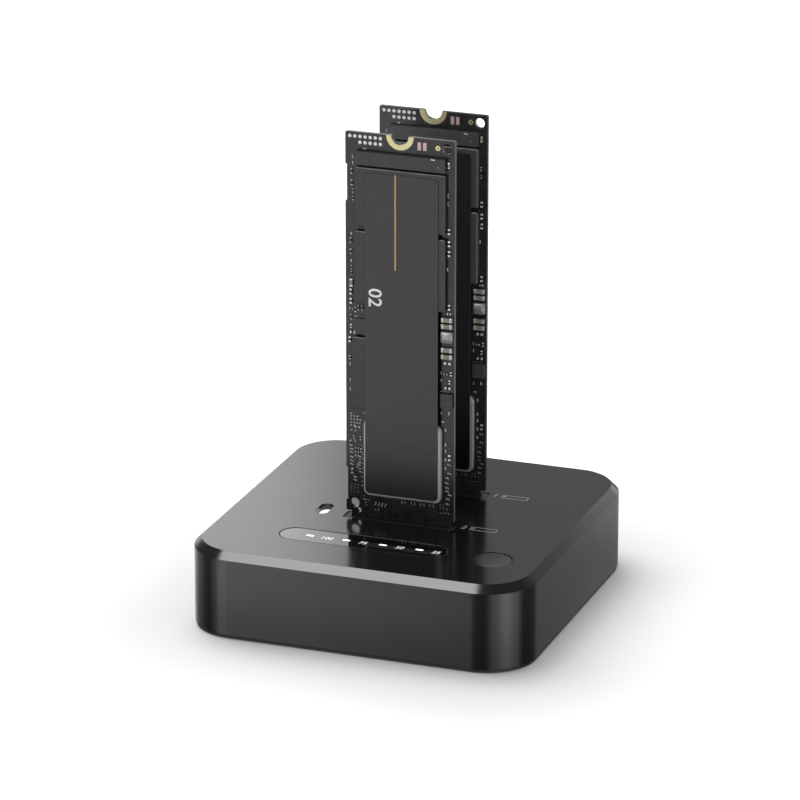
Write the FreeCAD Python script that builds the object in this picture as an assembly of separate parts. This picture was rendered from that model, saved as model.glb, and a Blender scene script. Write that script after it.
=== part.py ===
import FreeCAD, Part
import math
import os

# Desktop drive duplicator: a square moulded base that holds two solid state drives upright.
# Millimetres. +Z is up, the front faces -Y, and the origin is on the floor under the base's centre.

# Base
base_side = 68.8
base_height = 17.5
foot_gap = 0.8
plinth_low = 0.1
plinth_inset = 0.25
seam_gap = 0.15
corner_radius = 10.0
edge_chamfer = 1.5
wall = 1.8
top_thickness = 2.0
cover_thickness = 1.8
cover_gap = 0.1
rim_thickness = 1.0
rim_height = 1.6

# Screws and feet
screw_radius = 1.0
thread_gap = 0.02
head_radius = 1.8
head_height = 1.2
head_gap = 0.2
head_edge = 0.35
driver_reach = 1.1
driver_width = 0.4
driver_depth = 0.6
shank_hole_radius = 1.15
cover_screw_length = 8.0
cover_screw_inset = 7.4
cover_boss_radius = 2.7
cover_pillar_height = 3.4
foot_radius = 3.7
foot_recess_gap = 0.05
foot_recess = 0.8
foot_edge = 0.3
board_screw_length = 5.0
board_screw_inset_x = 8.4
board_screw_inset_y = 22.4
board_boss_radius = 2.2
tip_gap = 0.5
boss_rib = 1.0
air_slot_count = 7
air_slot_pitch = 3.6
air_slot_width = 1.6
air_slot_length = 20.0

# Main board
board_room = 7.0
board_thickness = 1.6
board_gap = 1.2
board_boss_gap = 0.5

# Drives: a board with a keyed tongue at its lower end
drive_width = 22.0
drive_length = 80.0
drive_board_thickness = 0.8
tongue_width = 19.85
tongue_height = 3.7
key_offset = 6.125
key_width = 1.2
key_depth = 2.5
drive_corner = 0.25
screw_notch_radius = 1.75
screw_pad_radius = 2.75
pad_thickness = 0.05
finger_width = 0.35
finger_length = 1.9
finger_rise = 0.4
finger_thickness = 0.03
drive_x = 0.5
target_y = -6.5
socket_pitch = 18.65
side_notch_depth = 0.32
upper_notch_drop = 6.4
upper_notch_height = 7.3
lower_notch_low = 6.0
lower_notch_height = 6.6
top_hole_radius = 0.98
top_hole_x = 9.43
top_hole_drop = 1.6
low_hole_radius = 0.95
low_hole_x = -9.27
low_hole_rise = 5.4
small_hole_radius = 0.5
small_hole_x = -8.42
small_hole_rise = 4.0

# Chips on a drive, measured from the drive's centre line and from its lower end
chip_height = 1.0
chip_corner = 0.25
chip_bevel = 0.15
controller_bevel = 0.4
small_part_corner = 0.1
memory_left = -8.8
memory_width = 18.14
memory_drop = 6.6
memory_gap = 0.95
second_memory_low = 46.4
second_memory_height = 14.35
cache_left = -9.36
cache_width = 10.0
cache_low = 25.0
cache_height = 14.5
controller_left = -7.1
controller_width = 15.72
controller_low = 7.5
controller_height = 15.8
controller_corner = 1.3
strip_height = 2.6
strip_gap = 0.5
bridge_chip_width = 5.0
bridge_chip_low = 40.2
bridge_chip_height = 3.1
power_chip_width = 2.4
power_chip_height = 2.75
power_chip_low = 27.2
power_chip_rise = 0.7
side_part_x = 9.6
label_left = -6.7
label_width = 14.76
label_low = 8.1
label_drop = 7.5
label_corner = 0.9
label_thickness = 0.15
coil_width = 2.3
coil_height = 2.1
coil_low = 40.4
coil_rise = 1.0
coil_corner = 0.2
capacitor_width = 2.1
capacitor_height = 0.85
capacitor_pitch = 1.35
capacitor_rise = 0.8
capacitor_gap_above = 0.6
capacitor_gap_below = 1.15

# Sockets
mouth_gap = 0.4
mouth_width = 3.4
mouth_corner = 0.4
nose_gap = 0.2
nose_drop = 0.1
nose_corner = 0.3
socket_length = 24.0
socket_width = 5.8
socket_ceiling_gap = 0.7
card_depth = 2.54
card_gap = 0.1
card_end_gap = 0.15
contact_pitch = 0.5
front_contact_count = 38
back_contact_count = 37
key_clearance = 1.0
contact_width = 0.25
contact_thickness = 0.25
contact_channel = 0.35
contact_end = 0.25
contact_lip = 0.5
contact_reach = 0.8
contact_tail_gap = 0.05

# Indicator window, its light guide and the status light
window_x = -2.2
window_inset = 14.6
window_length = 34.0
window_width = 6.4
window_thickness = 0.95
window_drop = 0.05
window_gap = 0.1
window_edge = 0.05
light_count = 4
light_pitch = 7.42
first_light_x = -13.1
light_length = 1.9
light_width = 0.8
light_gap = 0.15
guide_bar_height = 1.4
guide_bar_width = 2.4
guide_bar_end = 0.5
guide_bar_corner = 0.5
guide_foot_extra = 0.4
guide_ceiling_gap = 0.1
guide_end_gap = 0.1
led_length = 1.6
led_width = 0.8
led_height = 0.8
status_x = -15.75
status_y = -5.2
status_width = 2.6
status_length = 5.6
status_depth = 1.2
status_flange = 0.8
status_rod_radius = 1.0
status_gap = 0.1

# Clone button in the top and power button in the back
clone_inset_x = 10.6
clone_inset_y = 14.3
clone_radius = 3.85
clone_drop = 0.08
clone_travel = 0.5
clone_dish = 0.15
clone_edge = 0.1
button_gap = 0.1
button_flange = 0.65
button_flange_thickness = 0.8
switch_side = 6.0
switch_corner = 0.4
clone_switch_height = 3.5
stem_radius = 1.7
stem_hole_depth = 1.0
stem_overlap = 0.4
power_inset = 19.4
power_rise = 3.5
power_radius = 2.4
power_drop = 0.1
power_edge = 0.3
power_travel = 1.0
power_cap_length = 3.3
power_flange_gap = 0.2
power_switch_length = 5.6
power_stem_radius = 1.4
power_stem_hole_depth = 3.2
power_stem_overlap = 2.1
power_stem_gap = 0.1

# USB receptacle
usb_x = 0.0
usb_width = 8.94
usb_height = 3.26
usb_corner = 1.2
usb_shell = 0.3
usb_depth = 7.3
usb_drop = 0.4
usb_hole_gap = 0.25
usb_back = 1.5
usb_blade_width = 6.6
usb_blade_thickness = 0.7
usb_blade_length = 4.6
usb_contact_count = 12
usb_contact_pitch = 0.5
usb_contact_width = 0.3
usb_contact_length = 3.4
usb_contact_thickness = 0.05
usb_leg_width = 1.2
usb_leg_setback = 2.0
usb_leg_drop = 0.4
leg_slot_gap = 0.15

# Power inlet
jack_inset = 19.4
jack_rise = 0.7
jack_width = 9.0
jack_height = 9.6
jack_depth = 12.0
jack_nose_radius = 3.9
jack_nose_drop = 0.3
jack_bore_radius = 3.1
jack_bore_depth = 9.5
jack_pin_radius = 1.0
jack_pin_drop = 1.2
jack_pin_edge = 0.4
jack_ear_width = 1.2
jack_ear_length = 5.0
jack_ear_thickness = 0.8
jack_hole_gap = 0.2
jack_board_gap = 0.2

# Parts on the main board
clone_chip_side = 10.0
clone_chip_height = 0.9
clone_chip_edge = 0.2
regulator_side = 3.0
regulator_height = 0.9
inductor_side = 6.0
inductor_height = 3.0
inductor_corner = 1.0
supply_gap = 0.4
supply_rod_gap = 0.3
supply_pitch = 8.0
memory_chip_length = 5.3
memory_chip_width = 3.9
memory_chip_height = 1.6
crystal_length = 3.2
crystal_width = 2.5
crystal_height = 0.8
crystal_corner = 0.3
chip_spacing = 4.0
can_radius = 2.5
can_height = 5.4
can_inset_x = 10.1
can_inset_y = 14.6
can_base_height = 0.6
can_base_corner = 0.6
can_base_margin = 0.1
can_edge = 0.4

# Heights and places that follow from the sizes above
half_side = base_side / 2
cover_top = foot_gap + cover_thickness
ceiling = base_height - top_thickness
board_height = ceiling - board_room
cover_screw_offset = half_side - cover_screw_inset
board_screw_x = half_side - board_screw_inset_x
board_screw_y = half_side - board_screw_inset_y
board_bottom = board_height - board_thickness
cavity_side = base_side - 2 * wall
cavity_radius = corner_radius - wall
inner_face = cavity_side / 2
foot_seat = foot_gap + foot_recess
boss_bottom = cover_top + cover_pillar_height
cover_head_seat = foot_seat + head_gap + head_height
nose_top = base_height - nose_drop
socket_shoulder = ceiling - socket_ceiling_gap
drive_bottom = nose_top - card_depth
key_rib_top = drive_bottom + key_depth - key_width / 2
source_y = target_y + socket_pitch
mouth_length = drive_width + 2 * mouth_gap
chip_face = drive_board_thickness / 2 + chip_height
first_memory_low = second_memory_low + second_memory_height + memory_gap
first_memory_height = drive_length - memory_drop - first_memory_low
label_height = drive_length - label_drop - label_low
upper_notch_low = drive_length - upper_notch_drop - upper_notch_height
window_floor = base_height - window_drop - window_thickness
guide_top = ceiling - guide_ceiling_gap
window_y = window_inset - half_side
clone_x = half_side - clone_inset_x
clone_y = clone_inset_y - half_side
clone_top = base_height - clone_drop
clone_switch_top = board_height + clone_switch_height
clone_flange_top = ceiling - button_gap
power_x = power_inset - half_side
power_z = board_height + power_rise
power_face = half_side - power_drop
power_flange_front = inner_face - power_flange_gap
power_switch_front = power_face - power_cap_length - power_travel - power_stem_gap
usb_z = board_height + usb_height / 2
usb_front = half_side - usb_drop
jack_x = half_side - jack_inset
jack_z = board_height + jack_rise
jack_front = inner_face
supply_x = board_boss_radius + supply_gap + inductor_side / 2 - board_screw_x
can_x = half_side - can_inset_x
can_y = half_side - can_inset_y


def box(x0, x1, y0, y1, z0, z1):
    """Block between two corners."""
    return Part.makeBox(x1 - x0, y1 - y0, z1 - z0, FreeCAD.Vector(x0, y0, z0))


def block(length, width, z0, z1, x, y):
    """Upright block centred on x and y."""
    return box(x - length / 2, x + length / 2, y - width / 2, y + width / 2, z0, z1)


def disc(radius, z0, z1, x=0.0, y=0.0):
    """Upright cylinder from z0 to z1."""
    return Part.makeCylinder(radius, z1 - z0, FreeCAD.Vector(x, y, z0))


def rounded_wire(length, width, radius):
    """Closed outline of a rectangle with round corners, centred on the origin in the XY plane."""
    half_x = length / 2 - radius
    half_y = width / 2 - radius
    edges = []
    corners = [(half_x, half_y, 0), (-half_x, half_y, 90), (-half_x, -half_y, 180), (half_x, -half_y, 270)]
    ends = []
    for x, y, start in corners:
        centre = FreeCAD.Vector(x, y, 0)
        points = []
        for angle in (start, start + 45, start + 90):
            turn = math.radians(angle)
            points.append(centre + FreeCAD.Vector(math.cos(turn), math.sin(turn), 0) * radius)
        edges.append(Part.Arc(*points).toShape())
        ends.append((points[0], points[2]))
    for index in range(4):
        leave = ends[index][1]
        arrive = ends[(index + 1) % 4][0]
        if leave.distanceToPoint(arrive) > 1e-6:
            edges.append(Part.LineSegment(leave, arrive).toShape())
    return Part.Wire(Part.__sortEdges__(edges))


def plate(length, width, radius, z0, z1, x=0.0, y=0.0):
    """Upright prism with a round-cornered outline."""
    face = Part.Face(rounded_wire(length, width, radius))
    solid = face.extrude(FreeCAD.Vector(0, 0, z1 - z0))
    solid.translate(FreeCAD.Vector(x, y, z0))
    return solid


def slot(length, width, z0, z1, x=0.0, y=0.0):
    """Upright prism with fully round ends."""
    return plate(length, width, min(length, width) / 2, z0, z1, x, y)


def port(length, height, radius, y0, y1, x, z):
    """Round-cornered prism that runs along Y, for what passes through the back wall."""
    solid = plate(length, height, radius, -y1, -y0)
    solid.rotate(FreeCAD.Vector(0, 0, 0), FreeCAD.Vector(1, 0, 0), 90)
    solid.translate(FreeCAD.Vector(x, 0, z))
    return solid


def rod_along_y(radius, y0, y1, x, z):
    """Cylinder that runs along Y."""
    return Part.makeCylinder(radius, y1 - y0, FreeCAD.Vector(x, y0, z), FreeCAD.Vector(0, 1, 0))


def prism_along_x(points, x0, x1):
    """Prism whose outline is given as (y, z) points."""
    corners = [FreeCAD.Vector(x0, y, z) for y, z in points]
    face = Part.Face(Part.makePolygon(corners + corners[:1]))
    return face.extrude(FreeCAD.Vector(x1 - x0, 0, 0))


def level_edges(shape, z):
    """Edges of a shape that lie at one height."""
    return [e for e in shape.Edges if all(abs(v.Z - z) < 1e-4 for v in e.Vertexes)]


def joined(shapes):
    """One solid made of touching or overlapping shapes."""
    return shapes[0].multiFuse(shapes[1:]).removeSplitter()


def four_corners(x, y):
    """The four places of a pattern that is mirrored across both axes."""
    return [(i * x, j * y) for i in (-1, 1) for j in (-1, 1)]


def light_places():
    """X of each progress light, from left to right."""
    return [first_light_x + index * light_pitch for index in range(light_count)]


def contact_places(count):
    """X of each contact in one row of a card edge, from its centre line, with none at the key."""
    places = [(index - (count - 1) / 2) * contact_pitch for index in range(count)]
    return [x for x in places if abs(x + key_offset) > key_clearance]


def cover_screw_places():
    return four_corners(cover_screw_offset, cover_screw_offset)


def board_screw_places():
    return four_corners(board_screw_x, board_screw_y)


# Base shells

def top_housing():
    """Moulded shell: outer form with a chamfered rim, wall, mouths, window seat and bosses."""
    shell = plate(base_side, base_side, corner_radius, foot_gap, base_height)
    shell = shell.makeChamfer(edge_chamfer, level_edges(shell, base_height))
    cavity = plate(cavity_side, cavity_side, cavity_radius, foot_gap, ceiling)
    shell = shell.cut(cavity)
    posts = []
    for x, y in cover_screw_places():
        boss = disc(cover_boss_radius, boss_bottom, ceiling, x, y)
        side = math.copysign(1, x)
        front = math.copysign(1, y)
        low = board_height + board_boss_gap
        rib_x = box(min(x, side * inner_face), max(x, side * inner_face),
                    y - boss_rib / 2, y + boss_rib / 2, low, ceiling)
        rib_y = box(x - boss_rib / 2, x + boss_rib / 2,
                    min(y, front * inner_face), max(y, front * inner_face), low, ceiling)
        posts += [boss, rib_x, rib_y]
    for x, y in board_screw_places():
        posts.append(disc(board_boss_radius, board_height, ceiling, x, y))
    body = joined([shell] + posts)
    cuts = []
    for x, y in cover_screw_places():
        tip = cover_head_seat + cover_screw_length + tip_gap
        cuts.append(disc(screw_radius + thread_gap, boss_bottom, tip, x, y))
    for x, y in board_screw_places():
        tip = board_bottom + board_screw_length + tip_gap
        cuts.append(disc(screw_radius + thread_gap, board_height, tip, x, y))
    for y in (target_y, source_y):
        cuts.append(plate(mouth_length, mouth_width, mouth_corner, ceiling, base_height, drive_x, y))
    seat_length = window_length + 2 * window_gap
    seat_width = window_width + 2 * window_gap
    cuts.append(slot(seat_length, seat_width, window_floor, base_height, window_x, window_y))
    for x in light_places():
        hole_length = light_length + 2 * light_gap
        hole_width = light_width + 2 * light_gap
        cuts.append(slot(hole_length, hole_width, ceiling, window_floor, x, window_y))
    cuts.append(slot(status_width, status_length, ceiling, base_height, status_x, status_y))
    cuts.append(disc(clone_radius + button_gap, ceiling, base_height, clone_x, clone_y))
    cuts += back_openings()
    return body.cut(joined(cuts))


def back_openings():
    """Openings in the back wall for the receptacle, the inlet and the power button."""
    hole_width = usb_width + 2 * usb_hole_gap
    hole_height = usb_height + 2 * usb_hole_gap
    usb = port(hole_width, hole_height, usb_corner + usb_hole_gap, inner_face, half_side, usb_x, usb_z)
    jack = rod_along_y(jack_nose_radius + jack_hole_gap, inner_face, half_side, jack_x, jack_z)
    power = rod_along_y(power_radius + button_gap, inner_face, half_side, power_x, power_z)
    return [usb, jack, power]


def bottom_cover():
    """Closing plate with a low plinth under the wall, a locating rim, pillars, foot seats and air slots."""
    side = cavity_side - 2 * cover_gap
    radius = cavity_radius - cover_gap
    cover = plate(side, side, radius, plinth_low, cover_top)
    plinth_side = base_side - 2 * plinth_inset
    plinth = plate(plinth_side, plinth_side, corner_radius - plinth_inset, plinth_low, foot_gap - seam_gap)
    rim = plate(side, side, radius, cover_top, cover_top + rim_height)
    inner = side - 2 * rim_thickness
    rim = rim.cut(plate(inner, inner, radius - rim_thickness, cover_top, cover_top + rim_height))
    pillars = [disc(cover_boss_radius, cover_top, boss_bottom, x, y) for x, y in cover_screw_places()]
    body = joined([cover, plinth, rim] + pillars)
    cuts = []
    for x, y in cover_screw_places():
        cuts.append(disc(foot_radius + foot_recess_gap, plinth_low, foot_seat, x, y))
        cuts.append(disc(head_radius + head_gap, foot_seat, cover_head_seat, x, y))
        cuts.append(disc(shank_hole_radius, cover_head_seat, boss_bottom, x, y))
    for index in range(air_slot_count):
        offset = (index - (air_slot_count - 1) / 2) * air_slot_pitch
        cuts.append(slot(air_slot_width, air_slot_length, plinth_low, cover_top, offset, 0.0))
    return body.cut(Part.makeCompound(cuts))


def rubber_feet():
    """Four round feet in the cover's seats, over the screw heads."""
    feet = []
    for x, y in cover_screw_places():
        foot = disc(foot_radius, 0.0, foot_seat, x, y)
        feet.append(foot.makeChamfer(foot_edge, level_edges(foot, 0.0)))
    return Part.makeCompound(feet)


def pan_screw(seat, length, x, y):
    """Screw that is driven upwards: the head hangs under its seat, with a cross recess."""
    low = seat - head_height
    head = disc(head_radius, low, seat, x, y)
    head = head.makeChamfer(head_edge, level_edges(head, low))
    shank = disc(screw_radius, seat, seat + length, x, y)
    arm = driver_width / 2
    recess = joined([
        box(x - driver_reach, x + driver_reach, y - arm, y + arm, low, low + driver_depth),
        box(x - arm, x + arm, y - driver_reach, y + driver_reach, low, low + driver_depth),
    ])
    return head.fuse(shank).removeSplitter().cut(recess)


def cover_screws():
    screws = [pan_screw(cover_head_seat, cover_screw_length, x, y) for x, y in cover_screw_places()]
    return Part.makeCompound(screws)


def board_screws():
    screws = [pan_screw(board_bottom, board_screw_length, x, y) for x, y in board_screw_places()]
    return Part.makeCompound(screws)


# Main board and what stands on it

def main_board():
    """Circuit board with relief for the corner bosses, the inlet and the receptacle's legs."""
    side = cavity_side - 2 * board_gap
    board = plate(side, side, cavity_radius - board_gap, board_bottom, board_height)
    cuts = []
    for x, y in cover_screw_places():
        cuts.append(disc(cover_boss_radius + board_boss_gap, board_bottom, board_height, x, y))
    for x, y in board_screw_places():
        cuts.append(disc(shank_hole_radius, board_bottom, board_height, x, y))
    half = jack_width / 2 + jack_board_gap
    back = jack_front - jack_depth - jack_board_gap
    cuts.append(box(jack_x - half, jack_x + half, back, half_side, board_bottom, board_height))
    for leg in usb_legs(leg_slot_gap):
        cuts.append(leg)
    return board.cut(Part.makeCompound(cuts))


def socket_housing(y):
    """Upright card socket: foot, nose that fills the mouth, keyed card slot and contact channels."""
    body = box(-socket_length / 2, socket_length / 2, -socket_width / 2, socket_width / 2,
               board_height, socket_shoulder)
    nose_length = mouth_length - 2 * nose_gap
    nose_width = mouth_width - 2 * nose_gap
    nose = plate(nose_length, nose_width, nose_corner, socket_shoulder, nose_top)
    body = joined([body, nose])
    card_half = tongue_width / 2 + card_end_gap
    card_side = drive_board_thickness / 2 + card_gap
    slot_floor = drive_bottom - card_gap / 2
    card_slot = box(-card_half, card_half, -card_side, card_side, slot_floor, nose_top)
    key_side = key_width / 2 - card_end_gap
    key = box(-key_offset - key_side, -key_offset + key_side, -card_side, card_side,
              slot_floor, key_rib_top)
    cuts = [card_slot.cut(key)]
    channel_half = (front_contact_count - 1) * contact_pitch / 2 + contact_width
    for side in (-1, 1):
        near = side * card_side
        far = side * (card_side + contact_channel)
        outer = side * socket_width / 2
        cuts.append(box(-channel_half, channel_half, min(near, far), max(near, far),
                        board_height, nose_top - contact_lip))
        cuts.append(box(-channel_half, channel_half, min(far, outer), max(far, outer),
                        board_height, board_height + contact_thickness + contact_tail_gap))
    body = body.cut(joined(cuts))
    body.translate(FreeCAD.Vector(drive_x, y, 0))
    return body


def socket_contacts(y):
    """Two rows of bent contacts: a leaf beside the card and a tail soldered to the board."""
    leaf_top = nose_top - contact_lip - contact_end
    wall_y = drive_board_thickness / 2 + card_gap + contact_channel
    tail_y = socket_width / 2 + contact_reach
    leaf_y = wall_y - contact_thickness
    outline = [
        (leaf_y, board_height), (tail_y, board_height), (tail_y, board_height + contact_thickness),
        (wall_y, board_height + contact_thickness), (wall_y, leaf_top), (leaf_y, leaf_top),
    ]
    contacts = []
    half = contact_width / 2
    for side, count in ((-1, front_contact_count), (1, back_contact_count)):
        points = [(side * a, z) for a, z in outline]
        for x in contact_places(count):
            contacts.append(prism_along_x(points, drive_x + x - half, drive_x + x + half))
    group = Part.makeCompound(contacts)
    group.translate(FreeCAD.Vector(0, y, 0))
    return group


def clone_chip():
    """Copy controller between the two sockets."""
    top = board_height + clone_chip_height
    body = block(clone_chip_side, clone_chip_side, board_height, top, drive_x, (target_y + source_y) / 2)
    return body.makeChamfer(clone_chip_edge, level_edges(body, top))


def firmware_chip():
    """Small memory chip beside the copy controller."""
    x = drive_x + clone_chip_side / 2 + chip_spacing + memory_chip_length / 2
    y = (target_y + source_y) / 2
    return block(memory_chip_length, memory_chip_width, board_height, board_height + memory_chip_height, x, y)


def crystal():
    """Clock crystal on the other side of the copy controller."""
    x = drive_x - clone_chip_side / 2 - chip_spacing - crystal_length / 2
    y = (target_y + source_y) / 2
    return plate(crystal_length, crystal_width, crystal_corner, board_height, board_height + crystal_height,
                 x, y)


def supply_places():
    """Y of each voltage supply: one for each drive."""
    first = status_y + status_rod_radius + supply_rod_gap + inductor_side / 2
    return [first, first + supply_pitch]


def inductors():
    """One moulded inductor for each drive's supply."""
    coils = []
    for y in supply_places():
        coils.append(plate(inductor_side, inductor_side, inductor_corner, board_height,
                           board_height + inductor_height, supply_x, y))
    return Part.makeCompound(coils)


def regulator_chips():
    """One switching regulator beside each inductor."""
    chips = []
    x = supply_x + inductor_side / 2 + regulator_side
    for y in supply_places():
        top = board_height + regulator_height
        chips.append(block(regulator_side, regulator_side, board_height, top, x, y))
    return Part.makeCompound(chips)


def capacitors():
    """Round aluminium capacitors on square feet, one on each side of the back."""
    cans = []
    for x in (-can_x, can_x):
        base = plate(2 * can_radius, 2 * can_radius, can_base_corner, board_height,
                     board_height + can_base_height, x, can_y)
        can = disc(can_radius - can_base_margin, board_height + can_base_height, board_height + can_height,
                   x, can_y)
        can = can.makeChamfer(can_edge, level_edges(can, board_height + can_height))
        cans.append(base.fuse(can).removeSplitter())
    return Part.makeCompound(cans)


# Lights

def indicator_window():
    """Smoked window that fills the seat in the top."""
    top = base_height - window_drop
    window = slot(window_length, window_width, window_floor, top, window_x, window_y)
    return window.makeChamfer(window_edge, level_edges(window, top))


def indicator_leds():
    """Lights on the main board: a row under the window and one under the status light."""
    places = [(x, window_y) for x in light_places()] + [(status_x, status_y)]
    leds = []
    for x, y in places:
        leds.append(block(led_length, led_width, board_height, board_height + led_height, x, y))
    return Part.makeCompound(leds)


def light_guide():
    """Clear comb that carries each light from the board to the window."""
    places = light_places()
    middle = (places[0] + places[-1]) / 2
    span = places[-1] - places[0] + light_length + 2 * guide_bar_end
    bar = plate(span, guide_bar_width, guide_bar_corner, guide_top - guide_bar_height, guide_top,
                middle, window_y)
    prongs = []
    for x in places:
        prongs.append(slot(light_length, light_width, guide_top, window_floor - guide_end_gap, x, window_y))
        foot = board_height + led_height + guide_end_gap
        prongs.append(slot(light_length, light_width + guide_foot_extra, foot,
                           guide_top - guide_bar_height, x, window_y))
    return joined([bar] + prongs)


def status_lens():
    """White light pipe: its face is the floor of the status recess, its rod reaches the board."""
    face = slot(status_width - 2 * status_gap, status_length - 2 * status_gap, guide_top,
                base_height - status_depth, status_x, status_y)
    flange = slot(status_width + 2 * status_flange, status_length + 2 * status_flange,
                  guide_top - status_flange, guide_top, status_x, status_y)
    rod = disc(status_rod_radius, board_height + led_height + guide_end_gap, guide_top - status_flange,
               status_x, status_y)
    return joined([face, flange, rod])


# Buttons

def clone_button():
    """Round push button with a dished face, a retaining flange and a post on the switch."""
    cap = disc(clone_radius, clone_flange_top, clone_top, clone_x, clone_y)
    cap = cap.makeChamfer(clone_edge, level_edges(cap, clone_top))
    dish_radius = (clone_radius ** 2 + clone_dish ** 2) / (2 * clone_dish)
    dish_height = clone_top + dish_radius - clone_dish
    dish = Part.makeSphere(dish_radius, FreeCAD.Vector(clone_x, clone_y, dish_height))
    flange_bottom = clone_flange_top - button_flange_thickness
    flange = disc(clone_radius + button_flange, flange_bottom, clone_flange_top, clone_x, clone_y)
    post = disc(stem_radius, clone_stem_top(), flange_bottom, clone_x, clone_y)
    return joined([cap.cut(dish), flange, post])


def clone_stem_top():
    """Height at which the button's post meets the switch stem."""
    return clone_flange_top - button_flange_thickness - 2 * clone_travel


def clone_switch():
    """Push switch body on the main board."""
    body = plate(switch_side, switch_side, switch_corner, board_height, clone_switch_top, clone_x, clone_y)
    hole_floor = clone_switch_top - stem_hole_depth
    hole = disc(stem_radius + button_gap, hole_floor, clone_switch_top, clone_x, clone_y)
    return body.cut(hole)


def clone_switch_stem():
    """Plunger between the switch and the button."""
    return disc(stem_radius, clone_switch_top - stem_overlap, clone_stem_top(), clone_x, clone_y)


def power_button():
    """Round cap in the back wall with a flange behind it."""
    cap = rod_along_y(power_radius, power_face - power_cap_length, power_face, power_x, power_z)
    front = [e for e in cap.Edges if all(abs(v.Y - power_face) < 1e-4 for v in e.Vertexes)]
    cap = cap.makeChamfer(power_edge, front)
    flange = rod_along_y(power_radius + button_flange, power_flange_front - button_flange_thickness,
                         power_flange_front, power_x, power_z)
    return joined([cap, flange])


def power_switch():
    """Sideways push switch: a block on the main board with its plunger hole towards the back."""
    half = switch_side / 2
    body = box(power_x - half, power_x + half, power_switch_front - power_switch_length, power_switch_front,
               board_height, power_z + half)
    hole = rod_along_y(power_stem_radius + button_gap, power_switch_front - power_stem_hole_depth,
                       power_switch_front, power_x, power_z)
    return body.cut(hole)


def power_switch_stem():
    """Plunger of the power switch, up to the back of the button."""
    return rod_along_y(power_stem_radius, power_switch_front - power_stem_overlap,
                       power_face - power_cap_length, power_x, power_z)


# Receptacle and inlet in the back

def usb_legs(gap=0.0):
    """Legs of the receptacle's shell that pass through the board."""
    legs = []
    for side in (-1, 1):
        outer = usb_x + side * usb_width / 2
        inner = usb_x + side * (usb_width / 2 - usb_shell)
        middle = usb_front - usb_depth + usb_leg_setback
        legs.append(box(min(outer, inner) - gap, max(outer, inner) + gap,
                        middle - usb_leg_width / 2 - gap, middle + usb_leg_width / 2 + gap,
                        board_bottom - usb_leg_drop, usb_z))
    return legs


def usb_port_shell():
    """Drawn steel shell, open at both ends, with two legs in the board."""
    back = usb_front - usb_depth
    outer = port(usb_width, usb_height, usb_corner, back, usb_front, usb_x, usb_z)
    inner = port(usb_width - 2 * usb_shell, usb_height - 2 * usb_shell, usb_corner - usb_shell,
                 back, usb_front, usb_x, usb_z)
    return joined([outer] + usb_legs()).cut(inner)


def usb_port_tongue():
    """Insulator that closes the shell's back end and carries the contact blade."""
    back = usb_front - usb_depth
    block = port(usb_width - 2 * usb_shell, usb_height - 2 * usb_shell, usb_corner - usb_shell,
                 back, back + usb_back, usb_x, usb_z)
    blade = box(usb_x - usb_blade_width / 2, usb_x + usb_blade_width / 2,
                back + usb_back, back + usb_back + usb_blade_length,
                usb_z - usb_blade_thickness / 2, usb_z + usb_blade_thickness / 2)
    return joined([block, blade])


def usb_port_contacts():
    """Contacts on both faces of the receptacle's blade."""
    start = usb_front - usb_depth + usb_back
    half = usb_contact_width / 2
    face = usb_blade_thickness / 2
    contacts = []
    for index in range(usb_contact_count):
        x = usb_x + (index - (usb_contact_count - 1) / 2) * usb_contact_pitch
        for low in (usb_z - face - usb_contact_thickness, usb_z + face):
            contacts.append(box(x - half, x + half, start, start + usb_contact_length,
                                low, low + usb_contact_thickness))
    return Part.makeCompound(contacts)


def dc_jack_housing():
    """Inlet body sunk into the board's cut-out, with a round nose in the back wall."""
    half = jack_width / 2
    body = box(jack_x - half, jack_x + half, jack_front - jack_depth, jack_front,
               jack_z - jack_height / 2, jack_z + jack_height / 2)
    nose = rod_along_y(jack_nose_radius, jack_front, half_side - jack_nose_drop, jack_x, jack_z)
    ears = []
    for side in (-1, 1):
        inner = jack_x + side * half
        outer = jack_x + side * (half + jack_ear_width)
        ears.append(box(min(inner, outer), max(inner, outer), jack_front - jack_depth,
                        jack_front - jack_depth + jack_ear_length,
                        board_height, board_height + jack_ear_thickness))
    bore = rod_along_y(jack_bore_radius, half_side - jack_nose_drop - jack_bore_depth,
                       half_side - jack_nose_drop, jack_x, jack_z)
    return joined([body, nose] + ears).cut(bore)


def dc_jack_pin():
    """Centre pin of the inlet."""
    tip = half_side - jack_nose_drop - jack_pin_drop
    pin = rod_along_y(jack_pin_radius, half_side - jack_nose_drop - jack_bore_depth, tip, jack_x, jack_z)
    front = [e for e in pin.Edges if all(abs(v.Y - tip) < 1e-4 for v in e.Vertexes)]
    return pin.makeChamfer(jack_pin_edge, front)


# Drives

def card_plate(left, width, low, height, radius, front, depth):
    """Round-cornered plate in a drive's own plane: x from its centre line, height from its lower end.

    front is the distance of the plate's outer face in front of the drive board's centre plane."""
    solid = plate(width, height, radius, 0.0, depth)
    solid.rotate(FreeCAD.Vector(0, 0, 0), FreeCAD.Vector(1, 0, 0), 90)
    solid.translate(FreeCAD.Vector(left + width / 2, depth - front, low + height / 2))
    return solid


def chip(left, width, low, height, radius=chip_corner, rise=chip_height):
    """Package that lies on the front of a drive's board."""
    return card_plate(left, width, low, height, radius, drive_board_thickness / 2 + rise, rise)


def bevelled_chip(left, width, low, height, radius=chip_corner, bevel=chip_bevel):
    """Moulded package with a bevel round its top face."""
    body = chip(left, width, low, height, radius)
    edges = [e for e in body.Edges if all(abs(v.Y + chip_face) < 1e-4 for v in e.Vertexes)]
    return body.makeChamfer(bevel, edges)


def card_hole(radius, x, height):
    """Hole through a drive's board."""
    thick = drive_board_thickness
    return rod_along_y(radius, -thick, thick, x, height)


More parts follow.
